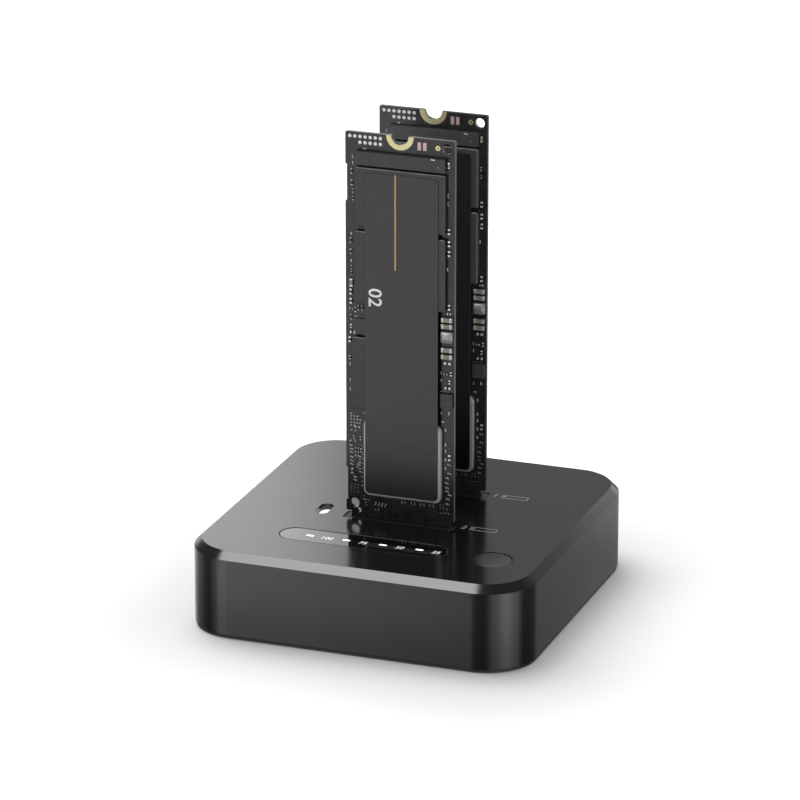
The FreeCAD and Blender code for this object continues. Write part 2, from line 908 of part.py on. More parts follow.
def drive_board():
    """Drive board: keyed tongue, screw notch, notches in its left side and holes."""
    thick = drive_board_thickness
    wide = card_plate(-drive_width / 2, drive_width, tongue_height, drive_length - tongue_height,
                      drive_corner, thick / 2, thick)
    half = tongue_width / 2
    tongue = box(-half, half, -thick / 2, thick / 2, 0.0, tongue_height + drive_corner)
    board = joined([wide, tongue])
    cuts = [
        card_hole(screw_notch_radius, 0.0, drive_length),
        card_hole(top_hole_radius, top_hole_x, drive_length - top_hole_drop),
        card_hole(low_hole_radius, low_hole_x, low_hole_rise),
        card_hole(small_hole_radius, small_hole_x, small_hole_rise),
        box(-key_offset - key_width / 2, -key_offset + key_width / 2, -thick, thick,
            0.0, key_depth - key_width / 2),
        card_hole(key_width / 2, -key_offset, key_depth - key_width / 2),
    ]
    for low, height in ((upper_notch_low, upper_notch_height), (lower_notch_low, lower_notch_height)):
        cuts.append(box(-drive_width / 2, side_notch_depth - drive_width / 2, -thick, thick, low, low + height))
    return board.cut(Part.makeCompound(cuts))


def drive_label():
    """Label that bridges the memory chips and the controller."""
    return card_plate(label_left, label_width, label_low, label_height, label_corner,
                      chip_face + label_thickness, label_thickness)


def drive_memory_chips():
    """Two large flash packages."""
    return Part.makeCompound([
        bevelled_chip(memory_left, memory_width, first_memory_low, first_memory_height),
        bevelled_chip(memory_left, memory_width, second_memory_low, second_memory_height),
    ])


def drive_controller():
    """Controller package near the tongue."""
    return bevelled_chip(controller_left, controller_width, controller_low, controller_height,
                         controller_corner, controller_bevel)


def drive_cache_chip():
    """Cache memory between the flash and the controller."""
    return bevelled_chip(cache_left, cache_width, cache_low, cache_height)


def drive_small_chips():
    """Smaller packages: above the flash, beside the cache and at the right-hand edge."""
    strip_low = first_memory_low + first_memory_height + strip_gap
    return Part.makeCompound([
        chip(memory_left, memory_width, strip_low, strip_height),
        chip(memory_left, bridge_chip_width, bridge_chip_low, bridge_chip_height),
        chip(side_part_x - power_chip_width / 2, power_chip_width, power_chip_low, power_chip_height,
             small_part_corner, power_chip_rise),
    ])


def drive_power_parts():
    """Supply inductor with two capacitors above and two below it."""
    parts = [chip(side_part_x - coil_width / 2, coil_width, coil_low, coil_height, coil_corner, coil_rise)]
    above = coil_low + coil_height + capacitor_gap_above
    below = coil_low - capacitor_gap_below - capacitor_height
    left = side_part_x - capacitor_width / 2
    for index in range(2):
        for low in (above + index * capacitor_pitch, below - index * capacitor_pitch):
            parts.append(chip(left, capacitor_width, low, capacitor_height,
                              small_part_corner, capacitor_rise))
    return Part.makeCompound(parts)


def drive_screw_pads():
    """Plated half rings round the screw notch, one on each face."""
    pads = []
    thick = drive_board_thickness
    for y in (-thick / 2 - pad_thickness, thick / 2):
        ring = rod_along_y(screw_pad_radius, y, y + pad_thickness, 0.0, drive_length)
        ring = ring.cut(rod_along_y(screw_notch_radius, y, y + pad_thickness, 0.0, drive_length))
        below = box(-drive_width, drive_width, -drive_width, drive_width, 0.0, drive_length)
        pads.append(ring.common(below))
    return Part.makeCompound(pads)


def drive_edge_contacts():
    """Gold contacts on both faces of the tongue."""
    fingers = []
    half = finger_width / 2
    face = drive_board_thickness / 2
    for inner, outer, count in ((-face, -face - finger_thickness, front_contact_count),
                                (face, face + finger_thickness, back_contact_count)):
        for x in contact_places(count):
            fingers.append(box(x - half, x + half, min(inner, outer), max(inner, outer),
                               finger_rise, finger_rise + finger_length))
    return Part.makeCompound(fingers)


def placed_drive(prefix, y):
    """All pieces of one drive at its socket."""
    makers = {
        "board": drive_board,
        "label": drive_label,
        "memory_chips": drive_memory_chips,
        "controller": drive_controller,
        "cache_chip": drive_cache_chip,
        "small_chips": drive_small_chips,
        "power_parts": drive_power_parts,
        "screw_pads": drive_screw_pads,
        "edge_contacts": drive_edge_contacts,
    }
    pieces = {}
    for name, maker in makers.items():
        shape = maker()
        shape.translate(FreeCAD.Vector(drive_x, y, drive_bottom))
        pieces[prefix + "_drive_" + name] = shape
    return pieces


nodes = {
    "top_housing": top_housing(),
    "bottom_cover": bottom_cover(),
    "rubber_feet": rubber_feet(),
    "cover_screws": cover_screws(),
    "main_board": main_board(),
    "board_screws": board_screws(),
    "target_socket": socket_housing(target_y),
    "source_socket": socket_housing(source_y),
    "target_socket_contacts": socket_contacts(target_y),
    "source_socket_contacts": socket_contacts(source_y),
    "clone_chip": clone_chip(),
    "firmware_chip": firmware_chip(),
    "crystal": crystal(),
    "inductors": inductors(),
    "regulator_chips": regulator_chips(),
    "capacitors": capacitors(),
    "indicator_window": indicator_window(),
    "indicator_leds": indicator_leds(),
    "light_guide": light_guide(),
    "status_lens": status_lens(),
    "clone_button": clone_button(),
    "clone_switch": clone_switch(),
    "clone_switch_stem": clone_switch_stem(),
    "power_button": power_button(),
    "power_switch": power_switch(),
    "power_switch_stem": power_switch_stem(),
    "usb_port_shell": usb_port_shell(),
    "usb_port_tongue": usb_port_tongue(),
    "usb_port_contacts": usb_port_contacts(),
    "dc_jack_housing": dc_jack_housing(),
    "dc_jack_pin": dc_jack_pin(),
}
nodes.update(placed_drive("target", target_y))
nodes.update(placed_drive("source", source_y))

os.makedirs("parts", exist_ok=True)
for name, shape in nodes.items():
    shape.exportStep("parts/" + name + ".step")
    print(name, len(shape.Solids), "solids", round(shape.Volume, 3), "mm3", shape.isValid())
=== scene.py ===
import math

import bmesh
import bpy
from mathutils import Euler, Matrix, Vector


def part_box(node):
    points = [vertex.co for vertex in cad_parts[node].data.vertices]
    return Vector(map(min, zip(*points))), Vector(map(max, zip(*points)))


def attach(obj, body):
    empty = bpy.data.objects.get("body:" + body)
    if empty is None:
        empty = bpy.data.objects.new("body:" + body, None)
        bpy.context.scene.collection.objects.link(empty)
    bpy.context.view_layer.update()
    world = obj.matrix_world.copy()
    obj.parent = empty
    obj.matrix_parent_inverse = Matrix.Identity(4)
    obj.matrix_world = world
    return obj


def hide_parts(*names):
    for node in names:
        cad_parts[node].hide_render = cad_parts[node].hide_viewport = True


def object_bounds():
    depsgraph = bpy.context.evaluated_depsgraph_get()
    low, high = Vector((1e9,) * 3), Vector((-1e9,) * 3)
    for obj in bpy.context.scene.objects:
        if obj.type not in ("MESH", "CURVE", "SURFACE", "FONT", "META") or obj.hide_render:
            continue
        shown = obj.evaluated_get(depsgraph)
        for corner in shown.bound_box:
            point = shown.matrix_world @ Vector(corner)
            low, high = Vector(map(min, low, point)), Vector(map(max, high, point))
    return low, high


bl_info = {
    "name": "Drive Duplicator",
    "version": (1, 0, 0),
    "blender": (4, 5, 0),
    "location": "3D View > Sidebar > Duplicator",
    "description": "Finishes a desktop drive duplicator and the two card drives that stand in it",
    "category": "Object",
}

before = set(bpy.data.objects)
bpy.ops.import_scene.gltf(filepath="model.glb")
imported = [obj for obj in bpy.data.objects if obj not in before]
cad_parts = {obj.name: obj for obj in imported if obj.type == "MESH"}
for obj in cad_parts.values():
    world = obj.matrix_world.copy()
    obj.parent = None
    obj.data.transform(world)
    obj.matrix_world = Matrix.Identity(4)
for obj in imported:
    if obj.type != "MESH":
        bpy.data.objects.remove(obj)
cad_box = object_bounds()

MM = 0.001
DRIVES = ("target", "source")
PRINT = 0.012  # thickness in mm at which print and lit marks are drawn


def card_frame(drive):
    """Centre line, front face and lower end of a drive's board, read from the frame."""
    low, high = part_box(drive + "_drive_board")
    return Vector(((low.x + high.x) / 2, low.y, low.z))


def linear(code):
    """Scene-linear RGBA of an sRGB hex colour."""
    channels = [int(code[i:i + 2], 16) / 255 for i in (1, 3, 5)]
    bent = [c / 12.92 if c <= 0.04045 else ((c + 0.055) / 1.055) ** 2.4 for c in channels]
    return (*bent, 1.0)


# What a user would change

def colour_setting(name, description, code):
    """A colour that can be changed; its default is an sRGB hex colour."""
    return bpy.props.FloatVectorProperty(
        name=name, description=description, subtype="COLOR", size=4, min=0, max=1, default=linear(code))


def length_setting(name, description, length):
    """A length that can be changed; its default is in metres."""
    return bpy.props.FloatProperty(
        name=name, description=description, subtype="DISTANCE", unit="LENGTH", default=length)


class DuplicatorFinish(bpy.types.PropertyGroup):
    """Colours of the duplicator's surfaces."""

    housing: colour_setting("Housing", "Moulded top shell", "#141516")
    label_top: colour_setting("Label, upper end", "Printed film at its lighter end", "#2c2b2c")
    # Painted shade: the colour the label fades to at its lower end, where the base shades it
    label_shaded_end: colour_setting("Label, lower end", "Printed film at its darker end", "#101011")
    accent: colour_setting("Accent line", "Thin line on a drive's label", "#cdae7a")
    top_print: colour_setting("Top print", "Marks beside the sockets", "#a9abae")


class DuplicatorSizes(bpy.types.PropertyGroup):
    """Sizes of what is printed on the duplicator or rounded on its edges."""

    shell_edge: length_setting("Shell edge", "Rounding of the moulded shell's edges", 0.1 * MM)
    light_mark: bpy.props.FloatVectorProperty(
        name="Light mark", description="Length and width of a lit mark in the window", size=2,
        subtype="XYZ_LENGTH", default=(1.6 * MM, 0.62 * MM))
    window_numeral: length_setting("Window numeral", "Height of the numerals beside the lit marks", 1.2 * MM)
    socket_numeral: length_setting("Socket numeral", "Height of the numerals beside the sockets", 1.7 * MM)
    label_numeral: length_setting("Label numeral", "Height of the numeral on a drive's label", 2.7 * MM)


class DuplicatorStudio(bpy.types.PropertyGroup):
    """Camera and lights."""

    azimuth: bpy.props.FloatProperty(
        name="Azimuth", description="Camera's turn from the front", subtype="ANGLE",
        default=math.radians(20.04))
    elevation: bpy.props.FloatProperty(
        name="Elevation", description="Camera's height angle", subtype="ANGLE", default=math.radians(19.35))
    distance: length_setting("Distance", "Camera to its aim", 0.9663)
    lens: bpy.props.FloatProperty(
        name="Lens", description="Focal length on a 36 mm sensor", subtype="DISTANCE_CAMERA", default=222.16)
    aim: bpy.props.FloatVectorProperty(
        name="Aim", description="Point that the camera looks at", subtype="XYZ_LENGTH", size=3,
        default=(-0.00641, 0.01208, 0.03526))
    key: bpy.props.FloatProperty(
        name="Key light", description="Radiance of the softbox that the gloss mirrors", default=9.6)
    overhead: bpy.props.FloatProperty(
        name="Overhead light", description="Radiance of the wide diffuser above", default=3.0)
    ambient: bpy.props.FloatProperty(
        name="Ambient", description="White light from all round", default=0.50)


# Nodes

def add(tree, kind, inputs=None, **settings):
    """Adds one node with its settings; an input takes a value or another node's output."""
    node = tree.nodes.new(kind)
    for name, value in settings.items():
        setattr(node, name, value)
    for key, value in (inputs or {}).items():
        if isinstance(value, bpy.types.NodeSocket):
            tree.links.new(value, node.inputs[key])
        else:
            node.inputs[key].default_value = value
    return node


def noise(tree, space, scale, detail=2.0):
    """Noise over a space."""
    return add(tree, "ShaderNodeTexNoise", {"Vector": space, "Scale": scale, "Detail": detail}).outputs["Fac"]


def remap(tree, value, start, end, first=0.0, last=1.0, **settings):
    """A value carried over from the range start to end onto the range first to last."""
    ranges = {"Value": value, "From Min": start, "From Max": end, "To Min": first, "To Max": last}
    return add(tree, "ShaderNodeMapRange", ranges, **settings).outputs["Result"]


def blend(tree, factor, low, high):
    """A colour between two others."""
    mix = add(tree, "ShaderNodeMix", {"Factor": factor, "A": low, "B": high}, data_type="RGBA")
    return [socket for socket in mix.outputs if socket.type == "RGBA"][0]


def reckon(tree, operation, *values, **settings):
    """Result of a Math node."""
    return add(tree, "ShaderNodeMath", dict(enumerate(values)), operation=operation, **settings).outputs[0]


def vector(tree, operation, *values):
    """Result of a Vector Math node; the factor of SCALE is its fourth input."""
    keys = (0, 3) if operation == "SCALE" else (0, 1)
    return add(tree, "ShaderNodeVectorMath", dict(zip(keys, values)), operation=operation).outputs[0]


def axes(tree, point):
    """X, Y and Z of a vector, by name."""
    return add(tree, "ShaderNodeSeparateXYZ", {"Vector": point}).outputs


def emboss(tree, shader, height, strength, rise):
    """Raises a surface by a height texture; rise is in millimetres."""
    bump = add(tree, "ShaderNodeBump", {"Height": height, "Strength": strength, "Distance": rise * MM})
    tree.links.new(bump.outputs["Normal"], shader.inputs["Normal"])


# Materials

NOISE_SPAN = (0.3, 0.7)  # where nearly all values of a noise lie
GLOSS_SHARE = 0.37  # gloss changes over patches 2.7 times as broad as those of the colour
RELIEF_STRENGTH = 0.6


def surface(name, uniform=None):
    """A new material with one Principled shader, and its object space in millimetres."""
    material = bpy.data.materials.new(name)
    material.use_nodes = True
    tree = material.node_tree
    shader = tree.nodes["Principled BSDF"]
    for key, value in (uniform or {}).items():
        shader.inputs[key].default_value = value
    point = add(tree, "ShaderNodeTexCoord").outputs["Object"]
    return material, tree, shader, vector(tree, "SCALE", point, 1 / MM)


def mottle(tree, shader, space, dark, light, grain, roughness, relief=0.0, relief_grain=1.0):
    """Colour, roughness and fine relief that vary over a surface; grain sizes are in millimetres."""
    colour = blend(tree, noise(tree, space, 1 / grain, 3.0), dark, light)
    tree.links.new(colour, shader.inputs["Base Color"])
    rough = remap(tree, noise(tree, space, GLOSS_SHARE / grain), *NOISE_SPAN, *roughness)
    tree.links.new(rough, shader.inputs["Roughness"])
    if relief:
        emboss(tree, shader, noise(tree, space, 1 / relief_grain), RELIEF_STRENGTH, relief)
    return colour


def swap_shader(tree, shader, kind, inputs):
    """Puts another shader in the place of the Principled one."""
    seen = shader.outputs[0].links[0].to_socket
    tree.nodes.remove(shader)
    tree.links.new(add(tree, kind, inputs).outputs[0], seen)


# Materials that only mottle() varies: dark and light colour, grain in mm, range of roughness, height
# and grain of the relief in mm, and the shader's settings that are the same all over
STOCK = {
    # Spark-eroded ABS: dull black with a grit that breaks every highlight
    "textured_abs_black": ("#151516", "#1e1e20", 0.3, (0.5, 0.62), 0.02, 0.3, {}),
    # Polished ABS button: deep black, smoother than the shell round it
    "polished_abs_black": (
        "#0c0c0d", "#131315", 3.0, (0.16, 0.22), 0.0008, 1.5, {"Coat Weight": 0.2, "Coat Roughness": 0.1}),
    # Moulded silicone rubber: dark, dull, with dust held in its pores
    "silicone_rubber_black": ("#161616", "#262626", 0.8, (0.75, 0.9), 0.01, 0.4, {}),
    # Glass-filled nylon: matt black with pale flecks of fibre
    "glass_filled_nylon": ("#0e0e0f", "#1a1a1c", 0.25, (0.45, 0.6), 0.006, 0.2, {}),
    # Moulded PBT of a push switch: flat dark grey with a light grain
    "moulded_pbt": ("#202022", "#2c2c2f", 0.4, (0.42, 0.55), 0.006, 0.25, {}),
    # Smoked polycarbonate under a hard coat: black glass with a clear, strong reflection
    "smoked_polycarbonate": (
        "#040404", "#070708", 5.0, (0.05, 0.08), 0.0004, 3.0,
        {"IOR": 1.585, "Coat Weight": 0.3, "Coat Roughness": 0.04}),
    # Clear polycarbonate of the light guide, with faint flow lines
    "clear_polycarbonate": (
        "#dfe6ea", "#f4f8fa", 1.5, (0.06, 0.14), 0.004, 1.0, {"IOR": 1.585, "Transmission Weight": 0.9}),
    # Zinc-plated steel screw: cool grey metal with small cloudy changes of gloss
    "zinc_plated_steel": ("#a5a7ab", "#c6c8cc", 0.5, (0.24, 0.4), 0.004, 0.3, {"Metallic": 1.0}),
    # Drawn aluminium can: bright, with soft rubbing
    "drawn_aluminium": ("#c3c5c8", "#dcdee0", 0.7, (0.22, 0.36), 0.003, 0.4, {"Metallic": 1.0}),
    # Stamped lid of the controller: dull grey metal that shows round the label
    "nickel_plated_lid": ("#b2b3b5", "#c4c5c7", 0.8, (0.42, 0.52), 0.002, 0.2, {"Metallic": 0.35}),
    # Gold over nickel: warm metal, slightly clouded by handling
    "gold_plating": ("#c9a75c", "#e6cc8a", 0.6, (0.22, 0.34), 0.002, 0.3, {"Metallic": 1.0}),
    # Immersion gold on a board's pads: a thin flash over nickel, so pale straw, and slightly matt
    "immersion_gold": ("#d8cc96", "#e6dcae", 1.2, (0.34, 0.42), 0.001, 0.3, {"Metallic": 0.55}),
    # Bare copper pad under clear flux: dull salmon pink
    "bare_copper_pad": ("#dab4b0", "#ebcbc7", 0.3, (0.4, 0.5), 0.004, 0.2, {"Metallic": 0.2}),
    # Tinned copper: pale matt metal, a little uneven
    "tinned_pads": ("#cfd0d0", "#f2f2f0", 0.3, (0.3, 0.45), 0.01, 0.2, {"Metallic": 0.4}),
    # Solder that has dulled in air: middle grey
    "dulled_solder": ("#98999b", "#c0c1c2", 0.3, (0.3, 0.45), 0.01, 0.2, {"Metallic": 0.4}),
    # Tinned ends of the large capacitors: warm light grey
    "capacitor_ends": ("#b5b4b0", "#cccbc6", 0.3, (0.3, 0.45), 0.01, 0.2, {"Metallic": 0.4}),
    # Metal shield of the supply inductor: even mid grey with a broad, soft shine
    "inductor_shield": ("#9b9b9c", "#b2b2b3", 0.3, (0.5, 0.6), 0.01, 0.02, {"Metallic": 0.6}),
    # Pressed iron powder inductor: dark grey, dry and granular
    "pressed_iron_powder": ("#2b2b2d", "#414145", 0.15, (0.55, 0.7), 0.01, 0.15, {}),
    # Moulded epoxy package: charcoal with silica grit and a slightly greasy sheen
    "moulded_epoxy": ("#333234", "#3c3b3d", 0.5, (0.42, 0.52), 0.004, 0.12, {}),
    # The same on the rear drive, made a little paler as painted light
    "moulded_epoxy_painted_light": ("#4a494b", "#545355", 0.5, (0.42, 0.52), 0.004, 0.12, {}),
    # Fired ceramic of chip capacitors and resistors: chalky, with a small change from part to part
    "tan_ceramic": ("#8b8776", "#a8a392", 0.9, (0.45, 0.6), 0.006, 0.1, {}),
    "straw_ceramic": ("#a9a67c", "#c2bf95", 0.9, (0.45, 0.6), 0.006, 0.1, {}),
    "dark_ceramic": ("#1c1b1b", "#343230", 0.9, (0.45, 0.6), 0.006, 0.1, {}),
    # Grid of dark pads near the contacts: chalky dark grey
    "pad_grid_grey": ("#3c3c3d", "#4e4e4f", 0.9, (0.45, 0.6), 0.006, 0.1, {}),
}


def stock(name, prefix=""):
    """A new material of the table."""
    dark, light, grain, roughness, relief, relief_grain, uniform = STOCK[name]
    material, tree, shader, space = surface(prefix + name, uniform)
    mottle(tree, shader, space, linear(dark), linear(light), grain, roughness, relief, relief_grain)
    return material


def moulded_housing(finish):
    """Satin-gloss moulded ABS: near black, mirrors broad soft shapes, with a faint moulding ripple."""
    material, tree, shader, space = surface("moulded_abs_black")
    dark = (*(channel * 0.85 for channel in finish.housing[:3]), 1.0)
    mottle(tree, shader, space, dark, tuple(finish.housing), 6.0, (0.15, 0.19), 0.0012, 2.5)
    return material


def solder_mask(name, board, level=("X", "Z"), film=("#131213", "#1c1b1c"), sides=("#504f4d", "#6b6a67")):
    """Black solder mask over etched copper: glassy film in which the tracks show as slight ridges.

    The outer edges of the board have none, so the pale laminate shows there; level names the two axes
    that lie in the board."""
    material, tree, shader, space = surface(name)
    cells = add(tree, "ShaderNodeTexVoronoi", {"Vector": space, "Scale": 0.55}, distance="CHEBYCHEV")
    lines = add(tree, "ShaderNodeTexWave", {"Vector": cells.outputs["Position"], "Scale": 2.0})
    tracks = add(tree, "ShaderNodeTexVoronoi", {"Vector": space, "Scale": 1.3},
                 distance="MANHATTAN", feature="F2")
    course = reckon(tree, "MULTIPLY", tracks.outputs["Distance"], lines.outputs["Fac"])
    ridge = remap(tree, reckon(tree, "PINGPONG", course, 0.25), 0.10, 0.14)
    mask = blend(tree, ridge, linear(film[0]), linear(film[1]))

    # Milled faces look along the board and lie within a millimetre of its outer edge
    look = axes(tree, add(tree, "ShaderNodeTexCoord").outputs["Normal"])
    along = reckon(tree, "MAXIMUM", *[reckon(tree, "ABSOLUTE", look[axis]) for axis in level])
    low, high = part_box(board)
    folded = vector(tree, "ABSOLUTE", vector(tree, "SUBTRACT", space, tuple((low + high) / 2 / MM)))
    reach = axes(tree, vector(tree, "SUBTRACT", folded, tuple((high - low) / 2 / MM)))
    nearest = reckon(tree, "MAXIMUM", *[reach[axis] for axis in level])
    milled = reckon(tree, "MULTIPLY", reckon(tree, "GREATER_THAN", along, 0.7),
                    reckon(tree, "GREATER_THAN", nearest, -1.0))
    laminate = blend(tree, noise(tree, space, 4.0), linear(sides[0]), linear(sides[1]))
    tree.links.new(blend(tree, milled, mask, laminate), shader.inputs["Base Color"])
    tree.links.new(remap(tree, noise(tree, space, 0.4), 0.0, 1.0, 0.2, 0.28), shader.inputs["Roughness"])
    emboss(tree, shader, ridge, 0.35, 0.03)
    return material


def lit_diffuser(name, tint, strength):
    """White-filled polycarbonate lit from below: even milk white, with slight clouds of its tint."""
    material, tree, shader, space = surface(name, {"Emission Strength": strength})
    colour = mottle(tree, shader, space, linear(tint), linear("#ffffff"), 0.5, (0.35, 0.45), 0.002, 0.3)
    tree.links.new(colour, shader.inputs["Emission Color"])
    return material


def nickel_steel():
    """Drawn steel with a nickel flash: grey metal with fine drawing lines along the port."""
    material, tree, shader, space = surface("nickel_plated_steel", {"Metallic": 1.0})
    mottle(tree, shader, space, linear("#9fa1a3"), linear("#bcbec0"), 0.4, (0.25, 0.38))
    drawn = vector(tree, "MULTIPLY", space, (6.0, 0.4, 6.0))
    emboss(tree, shader, noise(tree, drawn, 1.0), 0.4, 0.006)
    return material


def label_film(drive, finish):
    """Matt printed polyester film: charcoal that fades darker towards the card edge, a painted shade where the
    base shades it.
    """
    material, tree, shader, space = surface("printed_film_" + drive)
    low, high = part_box(drive + "_drive_label")
    black = linear("#000000")
    mottle(tree, shader, space, black, black, 0.6, (0.28, 0.36), 0.0015, 0.2)
    # Painted shade: the lower 30 % of the label blends down to the darker colour, as the base shades it
    fade = remap(tree, axes(tree, space)["Z"], low.z / MM, (0.7 * low.z + 0.3 * high.z) / MM,
                 interpolation_type="SMOOTHSTEP")
    speckle = remap(tree, noise(tree, space, 5.0), 0.0, 1.0, -0.06, 0.06)
    height = reckon(tree, "ADD", fade, speckle, use_clamp=True)
    tree.links.new(blend(tree, height, finish.label_shaded_end, finish.label_top), shader.inputs["Base Color"])
    return material


def printed_ink(name, colour, pearl=0.0):
    """Screen-printed ink: flat, with the pinholes of a mesh screen; pearl makes it a little metallic."""
    material, tree, shader, space = surface(name, {"Metallic": pearl})
    thin = (*(channel * 0.86 for channel in colour[:3]), 1.0)
    mottle(tree, shader, space, thin, tuple(colour), 0.12, (0.5, 0.6))
    return material


# Building

def clean_mesh(source):
    """A merged copy of a node's mesh, with its flat faces whole again."""
    mesh = source.copy()
    form = bmesh.new()
    form.from_mesh(mesh)
    bmesh.ops.remove_doubles(form, verts=form.verts, dist=0.0004 * MM)
    bmesh.ops.dissolve_limit(form, angle_limit=math.radians(0.2), verts=form.verts, edges=form.edges)
    form.to_mesh(mesh)
    form.free()
    for layer in ("custom_normal", "sharp_edge", "sharp_face"):
        if layer in mesh.attributes:
            mesh.attributes.remove(mesh.attributes[layer])
    mesh.polygons.foreach_set("use_smooth", [True] * len(mesh.polygons))
    return mesh


def baked_mesh(piece):
    """The piece's mesh with its modifiers applied."""
    bpy.context.view_layer.update()
    graph = bpy.context.evaluated_depsgraph_get()
    return bpy.data.meshes.new_from_object(piece.evaluated_get(graph))


def place(name, mesh, body, material=None):
    """Puts a finished mesh in the scene as a piece that rides on a body."""
    if not mesh.polygons:
        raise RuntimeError(name + " came out empty")
    mesh.name = name
    if material:
        mesh.materials.clear()
        mesh.materials.append(material)
    piece = bpy.data.objects.new(name, mesh)
    bpy.context.scene.collection.objects.link(piece)
    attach(piece, body)
    return piece


def soften(node, edge, body, material):
    """Stands a copy with rounded edges for a node, since no moulded or ground edge is razor sharp."""
    rough = bpy.data.objects.new(node + "_form", clean_mesh(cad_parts[node].data))
    bpy.context.scene.collection.objects.link(rough)
    bevel = rough.modifiers.new("edge", "BEVEL")
    bevel.width = edge
    bevel.segments = 2
    bevel.limit_method = "ANGLE"
    bevel.angle_limit = math.radians(30)
    bevel.harden_normals = True
    bevel.use_clamp_overlap = True
    piece = place(node + "_finished", baked_mesh(rough), body, material)
    bpy.data.objects.remove(rough)
    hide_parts(node)


def dress(material, *nodes):
    """Gives CAD nodes whose shape is right their finish."""
    for node in nodes:
        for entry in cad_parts[node].material_slots:
            entry.material = material


def wall(form, first, second):
    """Adds the band of faces between two closed loops of vertices."""
    faces = []
    for i in range(len(first)):
        j = (i + 1) % len(first)
        faces.append(form.faces.new((first[i], first[j], second[j], second[i])))
    return faces


def slab(form, outline, low, high):
    """Adds a flat-topped prism to a bmesh; outline is a closed list of (x, y)."""
    bottom, top = [[form.verts.new((x, y, z)) for x, y in outline] for z in (low, high)]
    form.faces.new(top)
    form.faces.new(list(reversed(bottom)))
    wall(form, bottom, top)


def ring(form, outer, inner, low, high):
    """Adds a flat-topped ring to a bmesh between two outlines with the same number of points."""
    outer_low, outer_high, inner_low, inner_high = [
        [form.verts.new((x, y, z)) for x, y in outline] for outline in (outer, inner) for z in (low, high)]
    wall(form, outer_high, inner_high)
    wall(form, inner_low, outer_low)
    wall(form, outer_low, outer_high)
    wall(form, inner_high, inner_low)


def arc(x, y, radius, start, sweep, steps):
    """Points of an arc round (x, y), both ends included; start and sweep are in degrees."""
    angles = [math.radians(start + sweep * i / steps) for i in range(steps + 1)]
    return [(x + radius * math.cos(angle), y + radius * math.sin(angle)) for angle in angles]


def circle(radius, steps):
    """Closed outline of a circle, counter-clockwise."""
    return arc(0, 0, radius, 0, 360, steps)[:-1]


def pill(length, width):
    """Closed outline of a bar with round ends, counter-clockwise."""
    radius = width / 2
    reach = length / 2 - radius
    return arc(reach, 0, radius, -90, 180, 10) + arc(-reach, 0, radius, 90, 180, 10)


def rounded_box(length, width, radius, steps=5):
    """Closed outline of a rectangle with round corners, counter-clockwise."""
    x, y = length / 2 - radius, width / 2 - radius
    corners = ((x, -y, -90), (x, y, 0), (-x, y, 90), (-x, -y, 180))
    return [point for cx, cy, start in corners for point in arc(cx, cy, radius, start, 90, steps)]


def finish_form(form, matrix=None):
    """Turns a bmesh into a mesh, placed and with its faces outwards."""
    if matrix is not None:
        form.transform(matrix)
    bmesh.ops.recalc_face_normals(form, faces=form.faces)
    mesh = bpy.data.meshes.new("form")
    form.to_mesh(mesh)
    form.free()
    return mesh


def lettering(text, height, matrix, shear=0.0, weight=0.0):
    """Mesh of a plain numeral: its middle at the matrix's origin, reading along X, facing Z."""
    curve = bpy.data.curves.new("numeral", "FONT")
    curve.body = text
    curve.align_x = "CENTER"
    curve.align_y = "CENTER"
    curve.size = height / 0.72  # a numeral is 0.72 of its font's size high
    curve.extrude = PRINT / 2 * MM
    curve.offset = weight
    curve.shear = shear
    curve.resolution_u = 5
    writer = bpy.data.objects.new("numeral", curve)
    bpy.context.scene.collection.objects.link(writer)
    mesh = baked_mesh(writer)
    bpy.data.objects.remove(writer)
    mesh.transform(matrix)
    return mesh


def join_meshes(meshes):
    """One mesh of several; each face keeps its own material."""
    materials = []
    form = bmesh.new()
    for mesh in meshes:
        materials += [found for found in mesh.materials if found and found not in materials]
        slots = [materials.index(found) if found else 0 for found in mesh.materials] or [0]
        mesh.polygons.foreach_set("material_index", [
            slots[min(face.material_index, len(slots) - 1)] for face in mesh.polygons])
        form.from_mesh(mesh)
    joined = meshes[0].copy()
    joined.materials.clear()
    for material in materials:
        joined.materials.append(material)
    form.to_mesh(joined)
    form.free()
    return joined


def facing(back=False):
    """Turn that stands something drawn in XY against a board's front, or its back."""
    return Euler((math.radians(90), 0, math.pi if back else 0)).to_matrix()


def on_card(drive, x, up, out=0.0):
    """Point on the front of a drive's board: x from its centre line, up from its lower end, in mm."""
    origin = card_frame(drive)
    return Vector((origin.x + x * MM, origin.y - out * MM, origin.z + up * MM))


def card_matrix(drive, x, up, out, turn):
    """Placement for something drawn in XY that lies on a drive's front, facing out of it."""
    spin = Matrix.Rotation(math.radians(turn), 4, "Z")
    return Matrix.Translation(on_card(drive, x, up, out)) @ facing().to_4x4() @ spin


def top_matrix(x, y, z):
    """Placement for something drawn in XY that lies on the top face, in mm."""
    return Matrix.Translation(Vector((x, y, z)) * MM)


# Small parts and rows of them

def chip_part(length, width, rise, cap, edge=0.03):
    """Prototype of a soldered chip part: a bar with bevelled edges and two metal ends, sizes in mm.

    It lies along X with its foot on Z 0; faces of the ends carry the attribute metal."""
    form = bmesh.new()
    inner = length / 2 - cap
    core = 0.94 if cap else 1.0  # the metal ends stand out a little round the body
    spans = [(-inner, inner, core)]
    if cap:
        spans += [(-length / 2, -inner, 1.0), (inner, length / 2, 1.0)]
    for start, end, share in spans:
        made = bmesh.ops.create_cube(form, size=1.0)["verts"]
        size = Vector((end - start, width * share, rise * share)) * MM
        middle = Vector(((start + end) / 2, 0, rise * share / 2)) * MM
        for vert in made:
            vert.co = size * vert.co + middle
        edges = list({bar for vert in made for bar in vert.link_edges})
        bmesh.ops.bevel(form, geom=edges, offset=edge * MM, segments=1, affect="EDGES")
    mesh = bpy.data.meshes.new("chip_part")
    form.to_mesh(mesh)
    form.free()
    layer = mesh.attributes.new("metal", "BOOLEAN", "FACE")
    layer.data.foreach_set("value", [
        cap > 0 and abs(face.center.x) > (inner + 0.002) * MM for face in mesh.polygons])
    return bpy.data.objects.new("chip_part", mesh)


